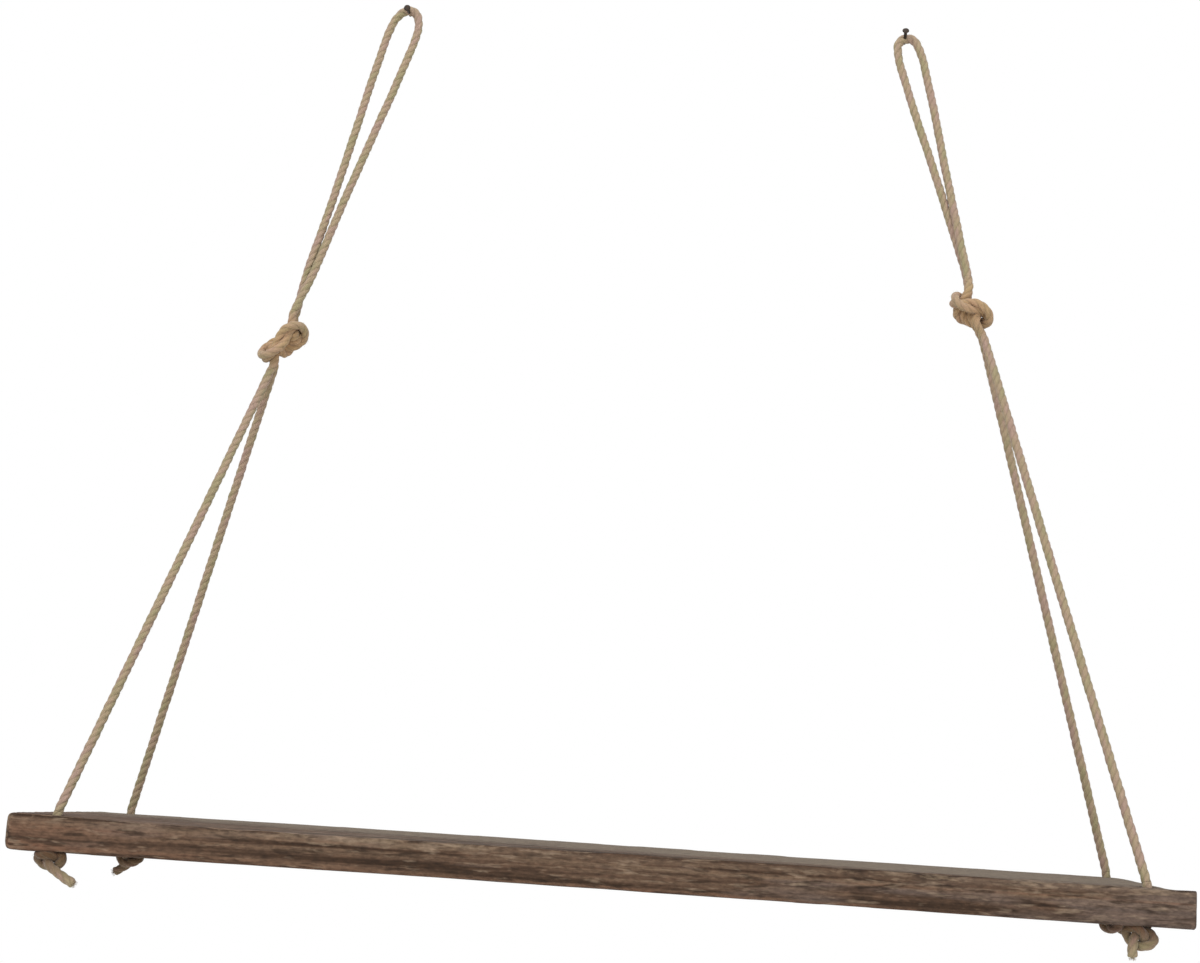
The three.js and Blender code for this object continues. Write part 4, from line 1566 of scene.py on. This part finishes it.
@dataclass
class Nail:
    """A wire nail: pointed shank, grip rings under the head, and a small domed head.

    In front of the place where the rope lies on it, it is bent up by its tilt, in degrees. Its sign
    is 1 for the right nail and -1 for the left one.
    """

    shelf: Shelf
    name: str
    sign: int
    tilt: float
    aside: float
    proud: float = 14 * MM
    embedded: float = 26 * MM
    point: float = 4 * MM
    shank_rings: tuple[float, float] = (9 * MM, 6 * MM)
    grip_rings: int = 4
    first_grip_mm: float = 5.2
    grip_width: float = 0.5 * MM
    grip_swelling: float = 1.06
    head_radius: float = 2.35 * MM
    # How far each ring of the head lies behind its top, in millimetres, and its share of the radius.
    head_profile: tuple[tuple[float, float], ...] = (
        (1.0, 0.93), (0.75, 1.0), (0.5, 0.985), (0.28, 0.86), (0.12, 0.6), (0.03, 0.3))
    sides: int = 28
    dents: float = 0.02
    dent_length: float = 3 * MM
    dent_seed: int = 3
    bend_length: float = 2 * MM
    sharp_angle: float = 40.0

    def profile(self) -> tuple[Array, Array]:
        """The nail's outline, from the point's base to the head's top.

        Returns:
            How far out of the wall each ring lies, and its radius, as two columns.
        """
        r, out = self.shelf.nail_radius, self.proud
        deep, high = self.shank_rings
        rings = [(self.point - self.embedded, r), (deep - self.embedded, r), (0.0, r), (out - high, r)]
        for i in range(self.grip_rings):
            start = out - (self.first_grip_mm - i) * MM
            rings += [(start, r), (start + self.grip_width / 2, r * self.grip_swelling),
                      (start + self.grip_width, r)]
        head = [(out - behind * MM, self.head_radius * share) for behind, share in self.head_profile]
        rings += [(head[0][0], r), *head]
        along, radius = (np.array(column)[:, None] for column in zip(*rings))
        return along, radius

    def build(self, steel: bpy.types.Material) -> bpy.types.Object:
        """Turn the nail about its own line, which runs out of the wall along -Y.

        Args:
            steel: the nail's material.

        Returns:
            The nail.
        """
        along, radius = self.profile()
        angle = around(self.sides)
        place = together(along / self.dent_length, np.cos(angle), np.sin(angle))
        radius = radius * (1 + self.dents * waviness(place, self.dent_seed))
        points = together(radius * np.cos(angle), -along, radius * np.sin(angle))
        tips = np.array([[0, self.embedded, 0], [0, -self.proud, 0]])
        x, y, z = np.concatenate([points.reshape(-1, 3), tips]).T
        seat = self.shelf.rope_from_wall
        forward = -y - seat
        bend = math.radians(self.tilt) * np.clip(forward / self.bend_length, 0, 1)
        bent = np.stack([x, -seat - forward * np.cos(bend) + z * np.sin(bend),
                         forward * np.sin(bend) + z * np.cos(bend)], -1)
        skin = Surface(bent + self.shelf.nail(self.sign) + [self.aside, 0, 0],
                       pointed(len(along), self.sides))
        piece = skin.mesh(f"{self.name}_wire_nail")
        piece.data.set_sharp_from_angle(angle=math.radians(self.sharp_angle))
        piece.data.materials.append(steel)
        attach(piece, "nails")
        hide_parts(f"{self.name}_nail")
        return piece


@dataclass(frozen=True)
class Softbox:
    """A rectangular lamp, what it points at, its width and height, and its power in watts."""

    name: str
    place: Triple
    aim: Triple
    size: tuple[float, float]
    power: float


@dataclass
class Studio:
    """The camera of the photograph's view, soft lamps, a pale floor and a white wall."""

    camera_place: Triple = (0.0960, -1.3497, -0.5230)
    yaw: float = 4.908
    pitch: float = 8.483
    roll: float = -3.528
    lens: float = 60.03
    sensor_width: float = 36.0
    clip: tuple[float, float] = (0.05, 30.0)
    world_strength: float = 0.72
    half_width: float = 4.0
    floor_height: float = -1.02
    floor_colour: str = "#F2F1EE"
    floor_roughness: float = 0.9
    wall_face: float = 0.4 * MM
    wall_foot: float = -1.0
    wall_top: float = 3.0
    softboxes: Sequence[Softbox] = (
        Softbox("key_softbox", (-0.9, -2.3, 0.75), (0.0, 0.0, -0.4), (1.6, 1.2), 26.0),
        Softbox("fill_softbox", (1.6, -1.9, -0.1), (0.0, 0.0, -0.4), (1.2, 1.2), 9.0),
        Softbox("top_softbox", (0.0, -0.6, 1.3), (0.0, -0.1, -0.5), (1.4, 0.9), 10.0),
    )

    def build(self) -> None:
        """Make the camera, the world, the lamps, the floor and the wall."""
        self.camera()
        self.world()
        for box in self.softboxes:
            self.lamp(box)
        right, foot, top = self.half_width, self.wall_foot, self.wall_top
        ground = ((-right, -right), (right, -right), (right, right), (-right, right))
        floor = self.sheet("floor", [(x, y, self.floor_height) for x, y in ground])
        floor.data.materials.append(self.paper())
        upright = ((-right, foot), (right, foot), (right, top), (-right, top))
        wall = self.sheet("wall", [(x, self.wall_face, z) for x, z in upright])
        wall.data.materials.append(self.glow())
        wall.visible_shadow = False

    def camera(self) -> None:
        """Place the camera as it stood for the photograph."""
        data = bpy.data.cameras.new("photo_camera")
        data.sensor_width = self.sensor_width
        data.sensor_fit = "HORIZONTAL"
        data.lens = self.lens
        data.clip_start, data.clip_end = self.clip
        eye = put_in_scene("photo_camera", data)
        right, ahead, up = turned((self.yaw, "Z"), (self.pitch, "X"), (self.roll, "Y")).col
        matrix = Matrix((right, up, -ahead)).transposed().to_4x4()
        matrix.translation = Vector(self.camera_place)
        eye.matrix_world = matrix
        bpy.context.scene.camera = eye

    def world(self) -> None:
        """White where the camera, a gloss or a clear material sees it, and plain dim light else."""
        made = bpy.data.worlds.new("studio_world")
        bpy.context.scene.world = made
        made.use_nodes = True
        tree = made.node_tree
        strength = add(tree, "MapRange", {"Value": self.seen(tree), "To Min": self.world_strength,
                                          "To Max": 1.0}).outputs[0]
        feed(tree, tree.nodes["Background"], {"Color": (1, 1, 1, 1), "Strength": strength})

    @staticmethod
    def seen(tree: bpy.types.NodeTree) -> bpy.types.NodeSocket:
        """Tell the rays that show a thing itself from those that only light it.

        Args:
            tree: the tree that asks.

        Returns:
            One where a camera, gloss or transmission ray arrives, and zero else.
        """
        path = add(tree, "LightPath")
        either = add(tree, "Math", {0: path.outputs["Is Camera Ray"], 1: path.outputs["Is Glossy Ray"]},
                     operation="MAXIMUM").outputs[0]
        return add(tree, "Math", {0: either, 1: path.outputs["Is Transmission Ray"]},
                   operation="MAXIMUM").outputs[0]

    def lamp(self, box: Softbox) -> None:
        """Hang one softbox.

        Args:
            box: the softbox.
        """
        data = bpy.data.lights.new(box.name, "AREA")
        data.shape = "RECTANGLE"
        data.size, data.size_y = box.size
        data.energy = box.power
        lamp = put_in_scene(box.name, data)
        lamp.location = box.place
        lamp.rotation_euler = (Vector(box.aim) - Vector(box.place)).to_track_quat("-Z", "Y").to_euler()

    @staticmethod
    def sheet(name: str, corners: Iterable[Triple]) -> bpy.types.Object:
        """A flat sheet with four corners."""
        return Surface(np.array(list(corners), float), [np.array([[0, 1, 2, 3]])]).mesh(name)

    def paper(self) -> bpy.types.Material:
        """Make the floor's material, pale matt paper.

        Returns:
            The material.
        """
        made, tree, shader = plain_material("pale_studio_paper")
        feed(tree, shader, {"Base Color": linear(self.floor_colour), "Roughness": self.floor_roughness})
        return made

    def glow(self) -> bpy.types.Material:
        """Make the wall's material: white to the camera from the room's side, and else not there.

        Returns:
            The material.
        """
        made, tree, _ = plain_material("white_studio_wall")
        tree.nodes.clear()
        behind = add(tree, "NewGeometry").outputs["Backfacing"]
        front = add(tree, "Math", {0: 1.0, 1: behind}, operation="SUBTRACT").outputs[0]
        share = add(tree, "Math", {0: self.seen(tree), 1: front}, operation="MULTIPLY").outputs[0]
        clear = add(tree, "BsdfTransparent").outputs[0]
        white = add(tree, "Emission", {"Color": (1, 1, 1, 1), "Strength": 1.0}).outputs[0]
        both = add(tree, "MixShader", {0: share, 1: clear, 2: white}).outputs[0]
        add(tree, "OutputMaterial", {"Surface": both})
        return made


# Each row says how far below the rope's top it is, half the gap between the strands' middle lines,
# both in millimetres, and how far the pair has turned, in degrees.
LEFT_LOOP = (
    (9.5, 8.8, 0), (21, 10.1, 0), (43, 9.4, 0), (65, 8.6, 0), (87, 7.3, 0), (108, 6.2, 0),
    (130, 5.1, 0), (152, 4.0, 0), (173, 3.3, 2), (195, 3.0, 12), (216, 2.8, 36), (232, 2.65, 76))
RIGHT_LOOP = (
    (9.5, 7.4, 0), (17, 8.1, 0), (32, 7.6, 0), (48, 7.1, 0), (64, 6.3, 0), (80, 5.3, 0),
    (96, 4.3, 0), (112, 3.4, 8), (130, 2.7, 30), (146, 2.65, 56), (160, 2.65, 76), (173, 2.65, 87))


def main() -> None:
    """Build the studio, the ropes, the plank and the nails, and report each piece."""
    logging.basicConfig(level=logging.INFO, format="%(message)s")
    bpy.context.scene.view_settings.view_transform = "Standard"
    Studio().build()
    shelf = Shelf()
    jute = JuteRope().material()
    left = Sling(
        shelf, "left", -1, LEFT_LOOP, off_line=1.9 * MM,
        gather=Gather(share=0.439, lean=-38, turn=-80, stretch=1.4, aside=0.5 * MM),
        gather_knot=Knot(ring=8.6 * MM, wrap=6 * MM, drawn=0.2),
        stoppers={
            End.FRONT: Stopper(lean=84, turn=8, tail=(0.9, -0.12, -0.45), tail_length=24 * MM,
                               aside=(5.5 * MM, 0.0, 4.5 * MM), in_hole=1 * MM),
            End.BACK: Stopper(lean=84, turn=188, tail=(-0.85, -0.1, -0.5), tail_length=17 * MM,
                              aside=(1 * MM, 0.0, 0.5 * MM), in_hole=1.3 * MM)})
    right = Sling(
        shelf, "right", 1, RIGHT_LOOP,
        gather=Gather(share=0.351, lean=34, turn=-86, stretch=1.15, aside=-6 * MM),
        gather_knot=Knot(ring=8.6 * MM, wrap=6 * MM, drawn=0.21),
        stoppers={
            End.FRONT: Stopper(lean=110, turn=0, tail=(0.0, -0.1, -0.99), tail_length=11 * MM,
                               aside=(-2.4 * MM, 0.0, 2 * MM)),
            End.BACK: Stopper(lean=84, turn=150, tail=(0.7, 0.05, -0.5), tail_length=6 * MM,
                              in_hole=1.3 * MM)})
    pieces = [piece for sling in (left, right) for piece in sling.build(jute)]
    pieces.append(Plank(shelf).build(WeatheredPine().material()))
    steel = DarkNailSteel().material()
    nails = (Nail(shelf, "left", -1, tilt=0.0, aside=-1.4 * MM),
             Nail(shelf, "right", 1, tilt=25.0, aside=-0.5 * MM))
    pieces += [nail.build(steel) for nail in nails]
    for piece in pieces:
        LOG.info("%s: %d faces", piece.name, len(piece.data.polygons))


if __name__ == "__main__":
    main()
